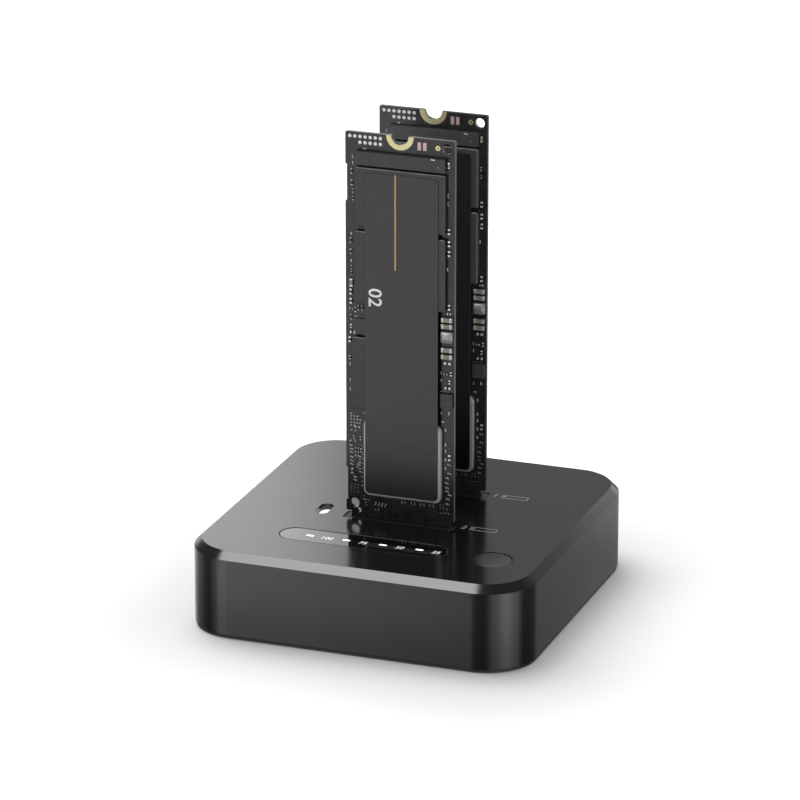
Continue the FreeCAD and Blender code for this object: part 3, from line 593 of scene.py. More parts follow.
def drum_part(length, width, rise, bulge):
    """Prototype of a rounded block, bulging out across its length, with its foot on Z 0; sizes in mm."""
    form = bmesh.new()
    steps = 12
    profile = [(-length / 2, 0.0)]
    for i in range(steps + 1):
        across = 2 * i / steps - 1
        profile.append((across * length / 2, rise * (1 - bulge * abs(across) ** 2.5)))
    profile.append((length / 2, 0.0))
    near, far = [[form.verts.new(Vector((x, y, z)) * MM) for x, z in profile] for y in (-width / 2, width / 2)]
    form.faces.new(near)
    form.faces.new(list(reversed(far)))
    for face in wall(form, near, far)[1:-2]:
        face.smooth = True
    return bpy.data.objects.new("drum_part", finish_form(form))


def round_pad(radius, thickness, hole=0.0, steps=14):
    """Prototype of a round pad or ring, facing Z, sizes in mm."""
    form = bmesh.new()
    if hole:
        ring(form, circle(radius * MM, steps), circle(hole * MM, steps), 0.0, thickness * MM)
    else:
        slab(form, circle(radius * MM, steps), 0.0, thickness * MM)
    return bpy.data.objects.new("round_pad", finish_form(form))


def row_tree():
    """Geometry Nodes tree: from each point it is given, a row of like parts, slightly unevenly set."""
    tree = bpy.data.node_groups.new("rows_of_parts", "GeometryNodeTree")
    wanted = (
        ("Starts", "Geometry"), ("Part", "Object"), ("Count", "Int"), ("Step", "Vector"), ("Turn", "Vector"),
        ("Unevenness", "Float"), ("Seed", "Int"), ("Body", "Material"), ("Ends", "Material"))
    for name, kind in wanted:
        tree.interface.new_socket(name, in_out="INPUT", socket_type="NodeSocket" + kind)
    tree.interface.new_socket("Geometry", in_out="OUTPUT", socket_type="NodeSocketGeometry")
    given = add(tree, "NodeGroupInput").outputs
    points = add(tree, "GeometryNodeMeshToPoints", {"Mesh": given["Starts"]})
    copies = add(tree, "GeometryNodeDuplicateElements",
                 {"Geometry": points.outputs[0], "Amount": given["Count"]}, domain="POINT")
    along = vector(tree, "SCALE", given["Step"], copies.outputs["Duplicate Index"])
    reach = vector(tree, "SCALE", (1.0, 0.0, 1.0), given["Unevenness"])
    drift = add(tree, "FunctionNodeRandomValue",
                {"Min": vector(tree, "SCALE", reach, -1.0), "Max": reach, "Seed": given["Seed"]},
                data_type="FLOAT_VECTOR")
    shift = vector(tree, "ADD", along, drift.outputs[0])
    moved = add(tree, "GeometryNodeSetPosition", {"Geometry": copies.outputs[0], "Offset": shift})
    part = add(tree, "GeometryNodeObjectInfo", {"Object": given["Part"], "As Instance": True})
    turn = add(tree, "FunctionNodeEulerToRotation", {0: given["Turn"]})
    spread = add(tree, "GeometryNodeInstanceOnPoints", {
        "Points": moved.outputs[0], "Instance": part.outputs["Geometry"], "Rotation": turn.outputs[0]})
    real = add(tree, "GeometryNodeRealizeInstances", {"Geometry": spread.outputs[0]})
    body = add(tree, "GeometryNodeSetMaterial", {"Geometry": real.outputs[0], "Material": given["Body"]})
    marked = add(tree, "GeometryNodeInputNamedAttribute", {"Name": "metal"}, data_type="BOOLEAN")
    ends = add(tree, "GeometryNodeSetMaterial", {
        "Geometry": body.outputs[0], "Selection": marked.outputs["Attribute"], "Material": given["Ends"]})
    add(tree, "NodeGroupOutput", {0: ends.outputs[0]})
    return tree


def row(tree, starts, **values):
    """Mesh of the tree's rows from the starts; values are those of its inputs, in metres and radians."""
    points = bpy.data.meshes.new("row")
    points.from_pydata(starts, [], [])
    holder = bpy.data.objects.new("row", points)
    bpy.context.scene.collection.objects.link(holder)
    nodes = holder.modifiers.new("row", "NODES")
    nodes.node_group = tree
    for item in tree.interface.items_tree:
        if item.name in values:
            nodes[item.identifier] = values[item.name]
    mesh = baked_mesh(holder)
    bpy.data.objects.remove(holder)
    return mesh


def run(part, turn, points, count=1, step=(0, 0), uneven=0.0):
    """Like parts on a board: from each point a row of count parts; mm and degrees."""
    return part, turn, points, count, step, uneven


# Operators

class DUPLICATOR_OT_base(bpy.types.Operator):
    """Finish the base: shells, feet, screws and the parts in its back"""

    bl_idname = "duplicator.base"
    bl_label = "Base"

    def execute(self, context):
        sizes = context.scene.duplicator_sizes
        nylon, nickel = stock("glass_filled_nylon"), nickel_steel()
        pieces = (
            ("top_housing", sizes.shell_edge, "housing", moulded_housing(context.scene.duplicator_finish)),
            ("bottom_cover", 0.1 * MM, "cover", stock("textured_abs_black")),
            ("rubber_feet", 0.12 * MM, "feet", stock("silicone_rubber_black")),
            ("cover_screws", 0.06 * MM, "screws", stock("zinc_plated_steel")),
            ("dc_jack_housing", 0.12 * MM, "socket", nylon),
            ("usb_port_shell", 0.05 * MM, "steel", nickel),
            ("usb_port_tongue", 0.05 * MM, "socket", nylon),
            ("target_socket", 0.08 * MM, "socket", nylon),
            ("source_socket", 0.08 * MM, "socket", nylon),
        )
        for node, edge, slot, material in pieces:
            soften(node, edge, "dock", material)
        dress(nickel, "dc_jack_pin")
        dress(stock("gold_plating"), "target_socket_contacts", "source_socket_contacts", "usb_port_contacts")
        dress(stock("drawn_aluminium"), "capacitors", "crystal")
        return {"FINISHED"}


class DUPLICATOR_OT_board(bpy.types.Operator):
    """Finish the main board and the parts that stand on it"""

    bl_idname = "duplicator.board"
    bl_label = "Main board"

    def execute(self, context):
        dress(solder_mask("main_board_mask", "main_board", ("X", "Y")), "main_board")
        dress(stock("moulded_epoxy"), "clone_chip", "firmware_chip", "regulator_chips")
        dress(stock("pressed_iron_powder"), "inductors")
        dress(stock("zinc_plated_steel"), "board_screws")
        dress(lit_diffuser("led_phosphor", "#fff3d6", 1.0), "indicator_leds")
        dress(stock("clear_polycarbonate"), "light_guide")
        dress(stock("moulded_pbt"), "clone_switch", "power_switch", "clone_switch_stem", "power_switch_stem")
        return {"FINISHED"}


class DUPLICATOR_OT_buttons(bpy.types.Operator):
    """Finish the two push buttons"""

    bl_idname = "duplicator.buttons"
    bl_label = "Buttons"

    def execute(self, context):
        polished = stock("polished_abs_black")
        dress(polished, "clone_button")
        soften("power_button", 0.08 * MM, "power_button", polished)
        return {"FINISHED"}


class DUPLICATOR_OT_lights(bpy.types.Operator):
    """Finish the window with its lit marks and numerals, and the status light"""

    bl_idname = "duplicator.lights"
    bl_label = "Window and lights"

    numerals = ("100", "75", "50", "25")
    numeral_reach = 0.46  # from a mark towards the next, as a share of their distance
    numeral_drop = 0.3 * MM
    stroke = 0.01 * MM
    gasket_over, gasket_under = 0.18 * MM, 0.14 * MM  # how far it is longer and shorter than the window
    gasket_sink = 0.01 * MM

    def execute(self, context):
        sizes = context.scene.duplicator_sizes
        dress(stock("smoked_polycarbonate"), "indicator_window")
        low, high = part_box("indicator_window")
        middle = (low.y + high.y) / 2
        lights = self.light_places()
        form = bmesh.new()
        for x in lights:
            slab(form, [(px + x, py) for px, py in pill(*sizes.light_mark)], 0.0, PRINT * MM)
        marks = finish_form(form, Matrix.Translation((0, middle, high.z)))
        place("light_marks", marks, "dock", lit_diffuser("lit_marks", "#f4f7fb", 1.1))
        reach = self.numeral_reach * (lights[1] - lights[0])
        meshes = []
        for x, text in zip(lights, self.numerals):
            matrix = Matrix.Translation((x + reach, middle - self.numeral_drop, high.z))
            meshes.append(lettering(text, sizes.window_numeral, matrix, shear=0.2, weight=self.stroke))
        # Painted glow: the printed numerals beside the lit marks are given a faint light of their own
        lit = lit_diffuser("numerals_painted_glow", "#dfe3e8", 0.5)
        place("window_numerals", join_meshes(meshes), "dock", lit)
        self.gasket(low, high)
        dress(lit_diffuser("status_diffuser", "#f1f3f6", 0.85), "status_lens")
        return {"FINISHED"}

    def gasket(self, low, high):
        """Thin black gasket that fills the gap round the window."""
        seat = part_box("top_housing")[1].z
        length, width = high.x - low.x, high.y - low.y
        outer = pill(length + self.gasket_over, width + self.gasket_over)
        inner = pill(length - self.gasket_under, width - self.gasket_under)
        form = bmesh.new()
        ring(form, outer, inner, high.z, seat - self.gasket_sink)
        mesh = finish_form(form, Matrix.Translation(((low.x + high.x) / 2, (low.y + high.y) / 2, 0)))
        place("window_gasket", mesh, "dock", stock("silicone_rubber_black"))

    def light_places(self):
        """X of each light under the window, from left to right, read from the lights on the board."""
        low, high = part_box("indicator_window")
        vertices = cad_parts["indicator_leds"].data.vertices
        edges = sorted({round(vertex.co.x, 6) for vertex in vertices if low.y < vertex.co.y < high.y})
        return [(edges[i] + edges[i + 1]) / 2 for i in range(0, len(edges), 2)]


class DUPLICATOR_OT_top_print(bpy.types.Operator):
    """Print a numeral and a card outline beside each socket"""

    bl_idname = "duplicator.top_print"
    bl_label = "Top print"

    # Millimetres: places to the right of the middle and behind a drive, then the card's drawing
    numeral_x, card_x, behind = 13.1, 17.2, 1.2
    length, width, line = 5.2, 1.5, 0.16
    contact_inset, contact_low, contact_step = 0.55, -0.42, 0.28
    contact_length, contact_width = 0.5, 0.128

    def execute(self, context):
        scene = context.scene
        ink = printed_ink("top_print_grey", scene.duplicator_finish.top_print)
        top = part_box("top_housing")[1].z / MM
        for numeral, drive in (("1", "source"), ("2", "target")):
            y = card_frame(drive).y / MM + self.behind
            matrix = top_matrix(self.numeral_x, y, top + PRINT / 2)
            text = lettering(numeral, scene.duplicator_sizes.socket_numeral, matrix, shear=0.15)
            mark = self.card_mark(top_matrix(self.card_x, y, top))
            place(drive + "_socket_print", join_meshes([text, mark]), "dock", ink)
        return {"FINISHED"}

    def card_mark(self, matrix):
        """Line drawing of a card: an outline with a short row of contacts at one end."""
        form = bmesh.new()
        x, y, line = self.length / 2, self.width / 2, self.line
        bars = [(0, y, self.length, line), (0, -y, self.length, line),
                (x, 0, line, self.width + line), (-x, 0, line, self.width + line)]
        for i in range(4):
            bars.append((self.contact_inset - x, self.contact_low + i * self.contact_step,
                         self.contact_length, self.contact_width))
        for bx, by, bl, bw in bars:
            corners = ((-bl, -bw), (bl, -bw), (bl, bw), (-bl, bw))
            slab(form, [((bx + dx / 2) * MM, (by + dy / 2) * MM) for dx, dy in corners], 0.0, PRINT * MM)
        return finish_form(form, matrix)


class DUPLICATOR_OT_drives(bpy.types.Operator):
    """Finish both drives: boards, packages, labels and plated parts"""

    bl_idname = "duplicator.drives"
    bl_label = "Drives"

    # Millimetres: how much shorter and lower than the lid the rim's two outlines are, and their corners
    rim_outlines = ((0.12, 0.66, 1.1), (0.9, 1.1, 0.85))
    rim_foot, rim_top = 0.34, 0.03

    # Millimetres on a drive's front: across from its centre line, up from its lower end
    line_place, line_length, line_width, line_corner = (-0.54, 63.2), 18.9, 0.29, 0.05
    numeral_place, numeral_stroke = (-4.75, 47.9), 0.05

    def execute(self, context):
        finish = context.scene.duplicator_finish
        lid, gold, pale_gold = stock("nickel_plated_lid"), stock("gold_plating"), stock("immersion_gold")
        accent = printed_ink("accent_ink", finish.accent, 0.3)
        white = printed_ink("label_white", linear("#ffffff"), 0.2)
        # Painted light and shade on the rear drive: a paler mask film and a darker milled edge than the front
        # drive's, for how light falls on it
        rear_light_and_shade = {"film": ("#302f31", "#3b3a3c"), "sides": ("#1c1c1c", "#2a2a2a")}
        kinds = zip(DRIVES, ("02", "01"), ("moulded_epoxy", "moulded_epoxy_painted_light"), ({}, rear_light_and_shade))
        for drive, numeral, epoxy, mask in kinds:
            name = drive + "_drive_"
            dress(solder_mask(drive + "_board_mask", name + "board", **mask), name + "board")
            dress(gold, name + "edge_contacts")
            dress(pale_gold, name + "screw_pads")
            dress(stock(epoxy), name + "memory_chips", name + "cache_chip", name + "small_chips")
            dress(lid, name + "controller")
            soften(name + "label", 0.03 * MM, drive + "_drive", label_film(drive, finish))
            self.lid_rim(drive, lid)
            self.label_print(drive, numeral, context.scene.duplicator_sizes.label_numeral, accent, white)
        return {"FINISHED"}

    def lid_rim(self, drive, lid):
        """Folded rim of the controller's lid, just below the label."""
        low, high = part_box(drive + "_drive_controller")
        board = card_frame(drive).y
        front = board - low.y
        outlines = [rounded_box(high.x - low.x - shorter * MM, high.z - low.z - lower * MM, corner * MM)
                    for shorter, lower, corner in self.rim_outlines]
        form = bmesh.new()
        ring(form, *outlines, front - self.rim_foot * MM, front - self.rim_top * MM)
        centre = Matrix.Translation(((low.x + high.x) / 2, board, (low.z + high.z) / 2))
        mesh = finish_form(form, centre @ facing().to_4x4())
        place(drive + "_lid_rim", mesh, drive + "_drive", lid)

    def label_print(self, drive, numeral, height, accent, white):
        """Accent line and numeral on the label, read from the drive's upper end down."""
        out = (card_frame(drive).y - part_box(drive + "_drive_label")[0].y) / MM
        form = bmesh.new()
        outline = rounded_box(self.line_length * MM, self.line_width * MM, self.line_corner * MM, 2)
        slab(form, outline, 0.0, PRINT * MM)
        line = finish_form(form, card_matrix(drive, *self.line_place, out, 90))
        place(drive + "_label_line", line, drive + "_drive", accent)
        matrix = card_matrix(drive, *self.numeral_place, out, -90)
        text = lettering(numeral, height, matrix, weight=self.numeral_stroke * MM)
        place(drive + "_label_numeral", text, drive + "_drive", white)


class DUPLICATOR_OT_drive_parts(bpy.types.Operator):
    """Solder the small parts, pads and vias to both faces of each drive's board"""

    bl_idname = "duplicator.drive_parts"
    bl_label = "Drive small parts"

    # Length, width, height, metal end and bevel of each bar, in mm
    bars = {
        "large_cap": (2.1, 0.85, 0.8, 0.45, 0.05), "medium_cap": (1.45, 0.62, 0.5, 0.2, 0.04),
        "cap": (1.1, 0.44, 0.4, 0.31), "cap_pads": (1.05, 0.34, 0.3, 0.22),
        "slim_cap": (1.1, 0.36, 0.4, 0.16), "tiny": (0.75, 0.24, 0.2, 0.15),
        "short": (0.75, 0.34, 0.28, 0.2), "bar": (0.75, 0.22, 0.2, 0.0, 0.02),
        "slat": (0.6, 0.15, 0.1, 0.0, 0.01), "mark": (0.36, 0.26, 0.02, 0.0, 0.005),
        "square": (0.46, 0.46, 0.3, 0.0), "dash": (0.62, 0.2, 0.12, 0.0, 0.02),
        "dot": (0.19, 0.19, 0.04, 0.0, 0.01), "long_pad": (1.55, 0.7, 0.04, 0.0, 0.01),
        "slit_shadow_bar": (0.45, 0.22, 0.03, 0.0, 0.01),
    }
    # Radius and thickness of each round, and the radius of its hole and its number of sides, in mm
    rounds = {
        "pad": (0.345, 0.05), "via": (0.16, 0.02, 0.0, 8), "ring": (0.5, 0.03, 0.17, 16), "spot": (0.2, 0.01)}
    # Length, width, height and bulge of the supply inductor
    coil = (2.3, 2.1, 1.0, 0.3)

    # Each piece: name, slot, where it stands, its material, that of its metal ends, and its rows. A row
    # has its part, turn, starts (across from the board's centre line, up from its lower end), and
    # where it is longer than one part, its count, step and unevenness.
    pieces = (
        ("_large_capacitors", "cans", "power", "tan_ceramic", "capacitor_ends", (
            run("large_cap", 0, [(0, 43.5), (0, 44.8), (0, 37.42), (0, 38.78)]),)),
        ("_supply_inductor", "ferrite", "power", "inductor_shield", "inductor_shield", (
            run("coil", 0, [(0, 41.4)]),)),
        ("_pad_grid", "board", "front", "pad_grid_grey", "pad_grid_grey", (
            run("square", 0, [(-9.85, 7.85), (-9.85, 8.5), (-9.85, 9.15)], 3, (0.65, 0)),)),
        # Painted shadow: black ink marks where the slits between the contacts lie in shade
        ("_contact_ends", "contacts", "front", "slit_shadow", "slit_shadow", (
            run("slit_shadow_bar", 0, [(-7.4, 2.98)], 17, (1.0, 0)),)),
        ("_bright_parts", "cans", "front", "dark_ceramic", "tinned_pads", (
            run("cap", 90, [(-9.88, 48.3), (-9.88, 46.44), (-10.1, 38.68)]),
            run("cap", 90, [(9.95, 62.3), (9.95, 59.9), (9.95, 57.95), (10.0, 47.3), (10.15, 17.0)]),
            run("cap", 0, [(-9.5, 40.2), (9.75, 31.07)]),
            run("short", 90, [(-9.9, 41.35), (10.1, 32.3), (10.35, 33.95)]),
            run("short", 0, [(9.97, 46.0)]))),
        ("_dim_parts", "cans", "front", "dark_ceramic", "dulled_solder", (
            run("cap", 90, [(-9.67, 11.93)]),
            run("cap_pads", 90, [
                (-9.0, 44.79), (-8.4, 45.22), (-7.55, 45.25), (-9.67, 72.3), (-9.65, 70.0), (-9.88, 58.58),
                (-9.88, 56.31), (-9.85, 43.25)]),
            run("short", 90, [(-10.1, 35.0), (9.77, 69.38), (9.77, 67.8)]),
            run("tiny", 90, [(-9.4, 68.4), (-9.42, 66.9), (-9.75, 53.17), (-9.75, 52.0)]),
            run("short", 0, [(-9.85, 44.9), (9.3, 33.85)]),
            run("short", 0, [(-8.75, 16.7)], 3, (0, -0.8), 0.03),
            run("short", 90, [(-7.85, 16.3), (-8.1, 14.7), (-8.1, 13.5), (-8.1, 12.2), (-8.6, 13.1)]))),
        ("_pale_capacitor", "cans", "front", "tan_ceramic", "tinned_pads", (
            run("medium_cap", 90, [(-9.78, 50.12)]),)),
        ("_straw_capacitor", "cans", "front", "straw_ceramic", "tinned_pads", (
            run("slim_cap", 90, [(9.87, 75.26)]),)),
        ("_board_marks", "label", "front", "board_print", "board_print", (
            run("dash", 90, [
                (-9.52, 75.07), (-9.47, 73.9), (-9.8, 59.86), (-9.82, 54.5), (9.62, 54.76), (9.98, 25.94),
                (9.3, 22.48), (9.3, 19.57), (9.3, 18.21), (9.3, 16.51), (9.3, 14.78)]),
            run("dash", 0, [(-7.05, 76.9), (8.75, 24.09)]))),
        ("_solder_spots", "contacts", "front", "dulled_solder", "dulled_solder", (
            run("dash", 90, [
                (-10.1, 33.65), (-10.1, 30.5), (-10.1, 28.5), (8.46, 25.88), (8.4, 33.97), (8.38, 32.54)]),
            run("bar", -18, [
                (-10.0, 17.15), (-9.85, 16.4), (-9.85, 15.75), (-9.82, 14.75), (-9.82, 14.0), (-9.82, 13.3),
                (-9.15, 10.72), (-9.15, 10.12)]),
            run("bar", -12, [
                (10.05, 15.53), (10.1, 13.77), (9.7, 12.79), (9.64, 11.76), (9.69, 10.79), (9.69, 10.07),
                (10.2, 9.37), (9.86, 8.51), (9.74, 7.45)]),
            run("bar", 72, [(-4.92, 5.76)], 4, (0.66, -0.06)),
            run("slat", 90, [(0.44, 6.7), (1.12, 6.68)], 4, (1.92, 0)),
            run("dot", 0, [(-9.2, 43.4)], 7, (0.31, 0.01)),
            run("dot", 0, [(8.39, 30.25)], 4, (0.52, 0)),
            run("via", 0, [(-9.98, 22.45), (-9.98, 23.1)], 3, (0.64, 0.02)),
            run("via", 0, [(-9.98, 21.8), (-9.98, 21.2)], 2, (0.62, 0.0)),
            run("via", 0, [
                (-9.98, 23.6), (-7.33, 24.0), (-8.1, 22.45), (-8.8, 21.75), (-8.25, 21.75), (-9.95, 20.2),
                (-9.12, 20.2), (-9.5, 19.05), (-8.1, 19.0), (-8.1, 18.4), (-9.1, 18.0), (-9.3, 18.5)]),
            run("dot", 0, [(-7.75, 17.4)], 10, (0.0, -0.93), 0.08),
            run("dot", 0, [(8.28, 5.47)], 4, (0.54, 0.01)),
            run("dot", 0, [(8.27, 6.51), (8.27, 7.02)], 2, (0.6, 0.03)),
            run("dot", 0, [
                (9.64, 6.42), (-7.37, 6.99), (-7.35, 6.31), (-6.86, 6.34), (-6.92, 5.73), (-6.92, 5.13),
                (-6.34, 6.3), (-5.0, 4.45), (-4.4, 4.45)]))),
        ("_first_pin_mark", "label", "package", "package_print", "package_print", (
            run("spot", 0, [(7.98, 74.9)]),)),
        ("_package_mark", "label", "package", "board_print", "board_print", (
            run("mark", 0, [(6.72, 76.36), (7.14, 76.3)]),)),
        ("_test_pads", "contacts", "front", "tinned_pads", "tinned_pads", (
            run("pad", 0, [(-10.05, 79.18)], 7, (1.025, 0)),
            run("pad", 0, [(-8.02, 78.03)], 5, (1.03, 0)),
            run("via", 0, [(-9.08, 20.94), (-8.34, 20.95), (-10.12, 18.05)]),
            run("square", 0, [(9.2, 36.04), (10.1, 36.04)]))),
        ("_gold_ring", "contacts", "front", "immersion_gold", "immersion_gold", (
            run("ring", 0, [(7.6, 78.4)]),)),
        ("_copper_pads", "contacts", "front", "bare_copper_pad", "bare_copper_pad", (
            run("long_pad", 90, [(3.88, 78.42)], 2, (1.08, 0)),)),
        ("_back_vias", "contacts", "back", "dulled_solder", "dulled_solder", (
            run("via", 0, [(-7.5 + 3.0 * i, 12.0 + 1.7 * (i % 3)) for i in range(6)], 24, (0, 2.4), 0.35),)),
        ("_back_pads", "contacts", "back", "tinned_pads", "tinned_pads", (
            run("pad", 0, [(-8.0, 70.0), (-8.0, 67.6)], 5, (1.9, 0)),)),
        ("_back_parts", "cans", "back", "tan_ceramic", "tinned_pads", (
            run("short", 0, [(-6.0 + 5.5 * i, 16.0) for i in range(3)], 5, (0, 1.3), 0.05),
            run("short", 90, [(-5.0 + 5.5 * i, 50.0) for i in range(3)], 4, (0, 1.4), 0.05))),
    )

    def execute(self, context):
        self.tree = row_tree()
        self.parts = {name: chip_part(*sizes) for name, sizes in self.bars.items()}
        self.parts.update({name: round_pad(*sizes) for name, sizes in self.rounds.items()})
        self.parts["coil"] = drum_part(*self.coil)
        finishes = {name: stock(name) for name in (
            "tinned_pads", "dulled_solder", "tan_ceramic", "capacitor_ends", "dark_ceramic", "pad_grid_grey",
            "immersion_gold", "bare_copper_pad")}
        # Painted shadow: black ink that stands in for the shade in the slits between the contacts
        finishes["slit_shadow"] = printed_ink("slit_shadow", linear("#050505"))
        for drive in DRIVES:
            body = drive + "_drive"
            finishes["inductor_shield"] = stock("inductor_shield")
            finishes["straw_ceramic"] = stock("straw_ceramic", drive + "_")
            finishes["board_print"] = printed_ink(drive + "_board_print", linear("#f4f4f2"))
            finishes["package_print"] = printed_ink(drive + "_package_print", linear("#868686"))
            for name, slot, side, core, ends, runs in self.pieces:
                mesh = self.rows(drive, side, runs, finishes[core], finishes[ends])
                piece = place(drive + name, mesh, body)
                if name == "_large_capacitors":
                    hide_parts(body + "_power_parts")
        return {"FINISHED"}

    def offset(self, drive, side):
        """How far across and out of the board's front the parts of a side stand, in mm."""
        if side == "power":
            low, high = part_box(drive + "_drive_power_parts")
            return ((low.x + high.x) / 2 - card_frame(drive).x) / MM, 0.0
        if side == "package":
            return 0.0, (card_frame(drive).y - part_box(drive + "_drive_memory_chips")[0].y) / MM
        if side == "back":
            low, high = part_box(drive + "_drive_board")
            return 0.0, (low.y - high.y) / MM
        return 0.0, 0.0

    def rows(self, drive, side, runs, core, ends):
        """Joined rows of parts on one side of a drive; a run's place in its list is its seed."""
        across, out = self.offset(drive, side)
        meshes = []
        for seed, (part, turn, points, count, step, uneven) in enumerate(runs):
            spin = facing(side == "back") @ Matrix.Rotation(math.radians(turn), 3, "Z")
            meshes.append(row(
                self.tree, [on_card(drive, across + x, up, out) for x, up in points], Part=self.parts[part],
                Count=count, Step=Vector((step[0], 0, step[1])) * MM, Turn=spin.to_euler(),
                Unevenness=uneven * MM, Seed=seed, Body=core, Ends=ends))
        return join_meshes(meshes)


class DUPLICATOR_OT_stage(bpy.types.Operator):
    """Set the floor, the camera and the studio light"""

    bl_idname = "duplicator.stage"
    bl_label = "Stage"

    # Metres
    floor_half = 4.0
    shade_half, shade_height = 0.075, 0.0004
    softbox_side, softbox_distance = 0.36, 0.8
    softbox_direction = Vector((-0.323, -0.326, 0.888))
    overhead_side = 1.4
    overhead_place = Vector((-0.50, 0.35, 1.45))
    card_depth, card_foot, card_top = 0.30, 0.02, 0.42

    # Millimetres: corner of the base, reach of the floor's glow and of the shadow on it
    base_corner, glow_reach, shadow_reach = 10.0, 60.0, 34.0

    # Brightness that the gloss sees round the horizon: degrees from the front towards the right
    bands = ((-180, 0.35), (-150, 0.5), (-136, 1.6), (-122, 0.8), (-108, 0.6), (-70, 0.2), (-55, 0.9),
             (-41, 2.6), (-30, 2.8), (-24, 2.4), (-18, 1.4), (-9, 0.3), (15, 0.2), (35, 1.6), (62, 3.2),
             (85, 1.8), (105, 0.2), (140, 0.2), (158, 0.45), (168, 0.85), (180, 0.5))
    brightest = 3.2
    upper_level = 0.3
    band_fade = (0.05, 0.35)  # Z of a direction: the bands fade out between these, and that level comes in

    def execute(self, context):
        studio = context.scene.duplicator_studio
        context.scene.view_settings.view_transform = "Standard"
        self.floor()
        self.contact_shade()
        self.camera(context, studio)
        aim = self.softbox_direction
        key = self.softbox("softbox", studio.key, self.softbox_side, aim * self.softbox_distance, aim)
        key.visible_diffuse = False
        above = self.overhead_place
        self.softbox("overhead", studio.overhead, self.overhead_side, above, above).visible_glossy = False
        self.card("left_card", (-0.158, -0.098), (2.22, 0.42), (-0.30, -0.02))
        self.card("right_card", (0.170, 0.118), (0.34, 1.45), (0.06, 0.40))
        self.world(context, studio)
        return {"FINISHED"}

    def from_base(self, tree, space):
        """Distance on the floor from the base's wall, in millimetres."""
        low, high = cad_box
        half = (high.x - low.x) / 2 / MM - self.base_corner
        folded = vector(tree, "ABSOLUTE", vector(tree, "MULTIPLY", space, (1.0, 1.0, 0.0)))
        beyond = vector(tree, "SUBTRACT", folded, (half, half, 0.0))
        outside = vector(tree, "MAXIMUM", beyond, (0.0, 0.0, 0.0))
        length = add(tree, "ShaderNodeVectorMath", {0: outside}, operation="LENGTH")
        return reckon(tree, "SUBTRACT", length.outputs["Value"], self.base_corner)

    def sheet(self, name, corners, material):
        """A flat sheet of the studio."""
        form = bmesh.new()
        form.faces.new([form.verts.new(corner) for corner in corners])
        mesh = finish_form(form)
        mesh.materials.append(material)
        sheet = bpy.data.objects.new(name, mesh)
        bpy.context.scene.collection.objects.link(sheet)
        return sheet

    def level_sheet(self, name, half, z, material):
        """A square sheet that lies level round the base."""
        corners = ((-half, -half, z), (half, -half, z), (half, half, z), (-half, half, z))
        return self.sheet(name, corners, material)

    def leave_to_gloss(self, sheet):
        """Hides a sheet from all but mirrored rays."""
        for ray in ("camera", "diffuse", "shadow", "transmission"):
            setattr(sheet, "visible_" + ray, False)

    def floor(self):
        """Matt white sweep with a painted glow that only the camera sees, faint by the base and strong away
        from it; it keeps the shadow and is not mirrored in the gloss of the object.
        """
        material, tree, shader, space = surface("white_sweep", {
            "Specular IOR Level": 0.0, "Emission Color": (1, 1, 1, 1)})
        mottle(tree, shader, space, linear("#f2f2f2"), linear("#f6f6f6"), 40.0, (0.85, 0.95))
        seen = add(tree, "ShaderNodeLightPath").outputs["Is Camera Ray"]
        glow = remap(tree, self.from_base(tree, space), 0.0, self.glow_reach, 0.08, 0.5,
                     interpolation_type="SMOOTHSTEP")
        tree.links.new(reckon(tree, "MULTIPLY", seen, glow), shader.inputs["Emission Strength"])
        self.level_sheet("floor", self.floor_half, 0.0, material).visible_glossy = False

    def contact_shade(self):
        """The base's shadow on the floor as the gloss of its walls sees it."""
        material, tree, shader, space = surface("mirrored_shadow")
        dim = remap(tree, self.from_base(tree, space), 0.0, self.shadow_reach, 0.62, 1.0,
                    interpolation_type="SMOOTHSTEP")
        swap_shader(tree, shader, "ShaderNodeBsdfTransparent", {"Color": dim})
        self.leave_to_gloss(self.level_sheet("contact_shade", self.shade_half, self.shade_height, material))

    def card(self, name, places, levels, sides):
        """Card behind the object that only its gloss sees; its brightness changes between two places."""
        material, tree, shader, space = surface(name)
        fade = remap(tree, axes(tree, space)["X"], places[0] / MM, places[1] / MM, *levels,
                     interpolation_type="SMOOTHSTEP")
        swap_shader(tree, shader, "ShaderNodeEmission", {"Strength": fade})
        (left, right), y = sides, self.card_depth
        corners = ((left, y, self.card_foot), (right, y, self.card_foot),
                   (right, y, self.card_top), (left, y, self.card_top))
        self.leave_to_gloss(self.sheet(name, corners, material))

    def camera(self, context, studio):
        """Camera on a circle round its aim."""
        data = bpy.data.cameras.new("camera")
        data.sensor_width = 36.0
        data.lens = studio.lens
        data.clip_start = 0.01
        data.clip_end = 20.0
        camera = bpy.data.objects.new("camera", data)
        a, e = studio.azimuth, studio.elevation
        back = Vector((math.sin(a) * math.cos(e), -math.cos(a) * math.cos(e), math.sin(e)))
        camera.location = Vector(studio.aim) + back * studio.distance
        camera.rotation_mode = "QUATERNION"
        camera.rotation_quaternion = (-back).to_track_quat("-Z", "Y")
        context.scene.collection.objects.link(camera)
        context.scene.camera = camera

    def softbox(self, name, radiance, side, location, direction):
        """A square light that looks back along its direction; radiance is what a mirror would show."""
        data = bpy.data.lights.new(name, "AREA")
        data.shape = "SQUARE"
        data.size = side
        data.energy = radiance * math.pi * side ** 2
        light = bpy.data.objects.new(name, data)
        light.location = location
        light.rotation_mode = "QUATERNION"
        light.rotation_quaternion = (-direction).to_track_quat("-Z", "Y")
        light.visible_camera = False
        bpy.context.scene.collection.objects.link(light)
        return light

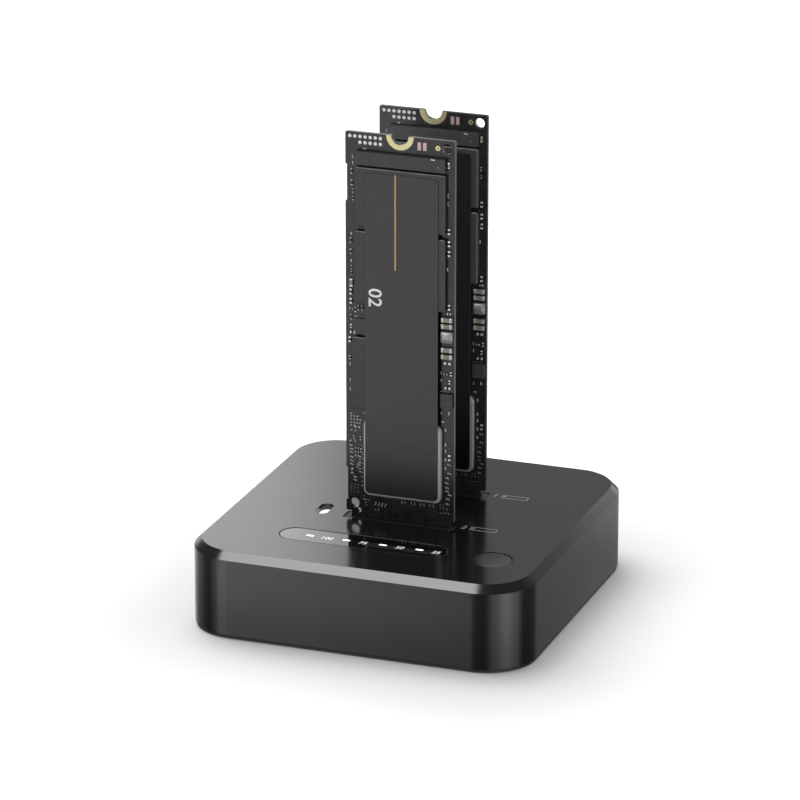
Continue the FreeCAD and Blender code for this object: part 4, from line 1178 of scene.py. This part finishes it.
    def world(self, context, studio):
        """White to the camera, soft white to matt surfaces, and tall soft strips to the gloss."""
        world = bpy.data.worlds.new("studio")
        world.use_nodes = True
        tree = world.node_tree
        tree.nodes.clear()
        rays = add(tree, "ShaderNodeLightPath").outputs
        toward = axes(tree, add(tree, "ShaderNodeTexCoord").outputs["Generated"])
        angle = reckon(tree, "ARCTAN2", toward["X"], reckon(tree, "MULTIPLY", toward["Y"], -1.0))
        ramp = add(tree, "ShaderNodeValToRGB", {"Fac": remap(tree, angle, -math.pi, math.pi)})
        ramp.color_ramp.interpolation = "EASE"
        stops = ramp.color_ramp.elements
        while len(stops) > 1:
            stops.remove(stops[-1])
        for index, (degrees, level) in enumerate(self.bands):
            stop = stops[0] if index == 0 else stops.new((degrees + 180) / 360)
            stop.position = (degrees + 180) / 360
            stop.color = (level / self.brightest,) * 3 + (1.0,)
        fade = remap(tree, toward["Z"], *self.band_fade, self.brightest, 0.0)
        upper = remap(tree, toward["Z"], *self.band_fade, 0.0, self.upper_level)
        level = reckon(tree, "ADD", reckon(tree, "MULTIPLY", ramp.outputs["Color"], fade), upper)
        gloss, matt, white = [
            add(tree, "ShaderNodeBackground", {"Strength": strength}).outputs[0]
            for strength in (level, studio.ambient, 1.0)]
        lit = add(tree, "ShaderNodeMixShader", {0: rays["Is Glossy Ray"], 1: matt, 2: gloss})
        seen = reckon(tree, "MAXIMUM", rays["Is Camera Ray"], rays["Is Transmission Ray"])
        whole = add(tree, "ShaderNodeMixShader", {0: seen, 1: lit.outputs[0], 2: white})
        add(tree, "ShaderNodeOutputWorld", {"Surface": whole.outputs[0]})
        context.scene.world = world


class DUPLICATOR_PT_panel(bpy.types.Panel):
    """Shows a button for each operator and the duplicator's settings"""

    bl_label = "Drive Duplicator"
    bl_idname = "DUPLICATOR_PT_panel"
    bl_space_type = "VIEW_3D"
    bl_region_type = "UI"
    bl_category = "Duplicator"

    def draw(self, context):
        for operator in OPERATORS:
            self.layout.operator(operator.bl_idname)
        scene = context.scene
        for group in (scene.duplicator_finish, scene.duplicator_sizes, scene.duplicator_studio):
            box = self.layout.box()
            for name in group.__annotations__:
                box.prop(group, name)


OPERATORS = (DUPLICATOR_OT_base, DUPLICATOR_OT_board, DUPLICATOR_OT_buttons, DUPLICATOR_OT_lights,
             DUPLICATOR_OT_top_print, DUPLICATOR_OT_drives, DUPLICATOR_OT_drive_parts, DUPLICATOR_OT_stage)
GROUPS = (DuplicatorFinish, DuplicatorSizes, DuplicatorStudio)


def register():
    for cls in (*GROUPS, *OPERATORS, DUPLICATOR_PT_panel):
        bpy.utils.register_class(cls)
    bpy.types.Scene.duplicator_finish = bpy.props.PointerProperty(type=DuplicatorFinish)
    bpy.types.Scene.duplicator_sizes = bpy.props.PointerProperty(type=DuplicatorSizes)
    bpy.types.Scene.duplicator_studio = bpy.props.PointerProperty(type=DuplicatorStudio)


def unregister():
    del bpy.types.Scene.duplicator_studio
    del bpy.types.Scene.duplicator_sizes
    del bpy.types.Scene.duplicator_finish
    for cls in reversed((*GROUPS, *OPERATORS, DUPLICATOR_PT_panel)):
        bpy.utils.unregister_class(cls)


def main():
    """Runs every operator in order."""
    register()
    bpy.ops.duplicator.base()
    bpy.ops.duplicator.board()
    bpy.ops.duplicator.buttons()
    bpy.ops.duplicator.lights()
    bpy.ops.duplicator.top_print()
    bpy.ops.duplicator.drives()
    bpy.ops.duplicator.drive_parts()
    bpy.ops.duplicator.stage()


if __name__ == "__main__":
    main()
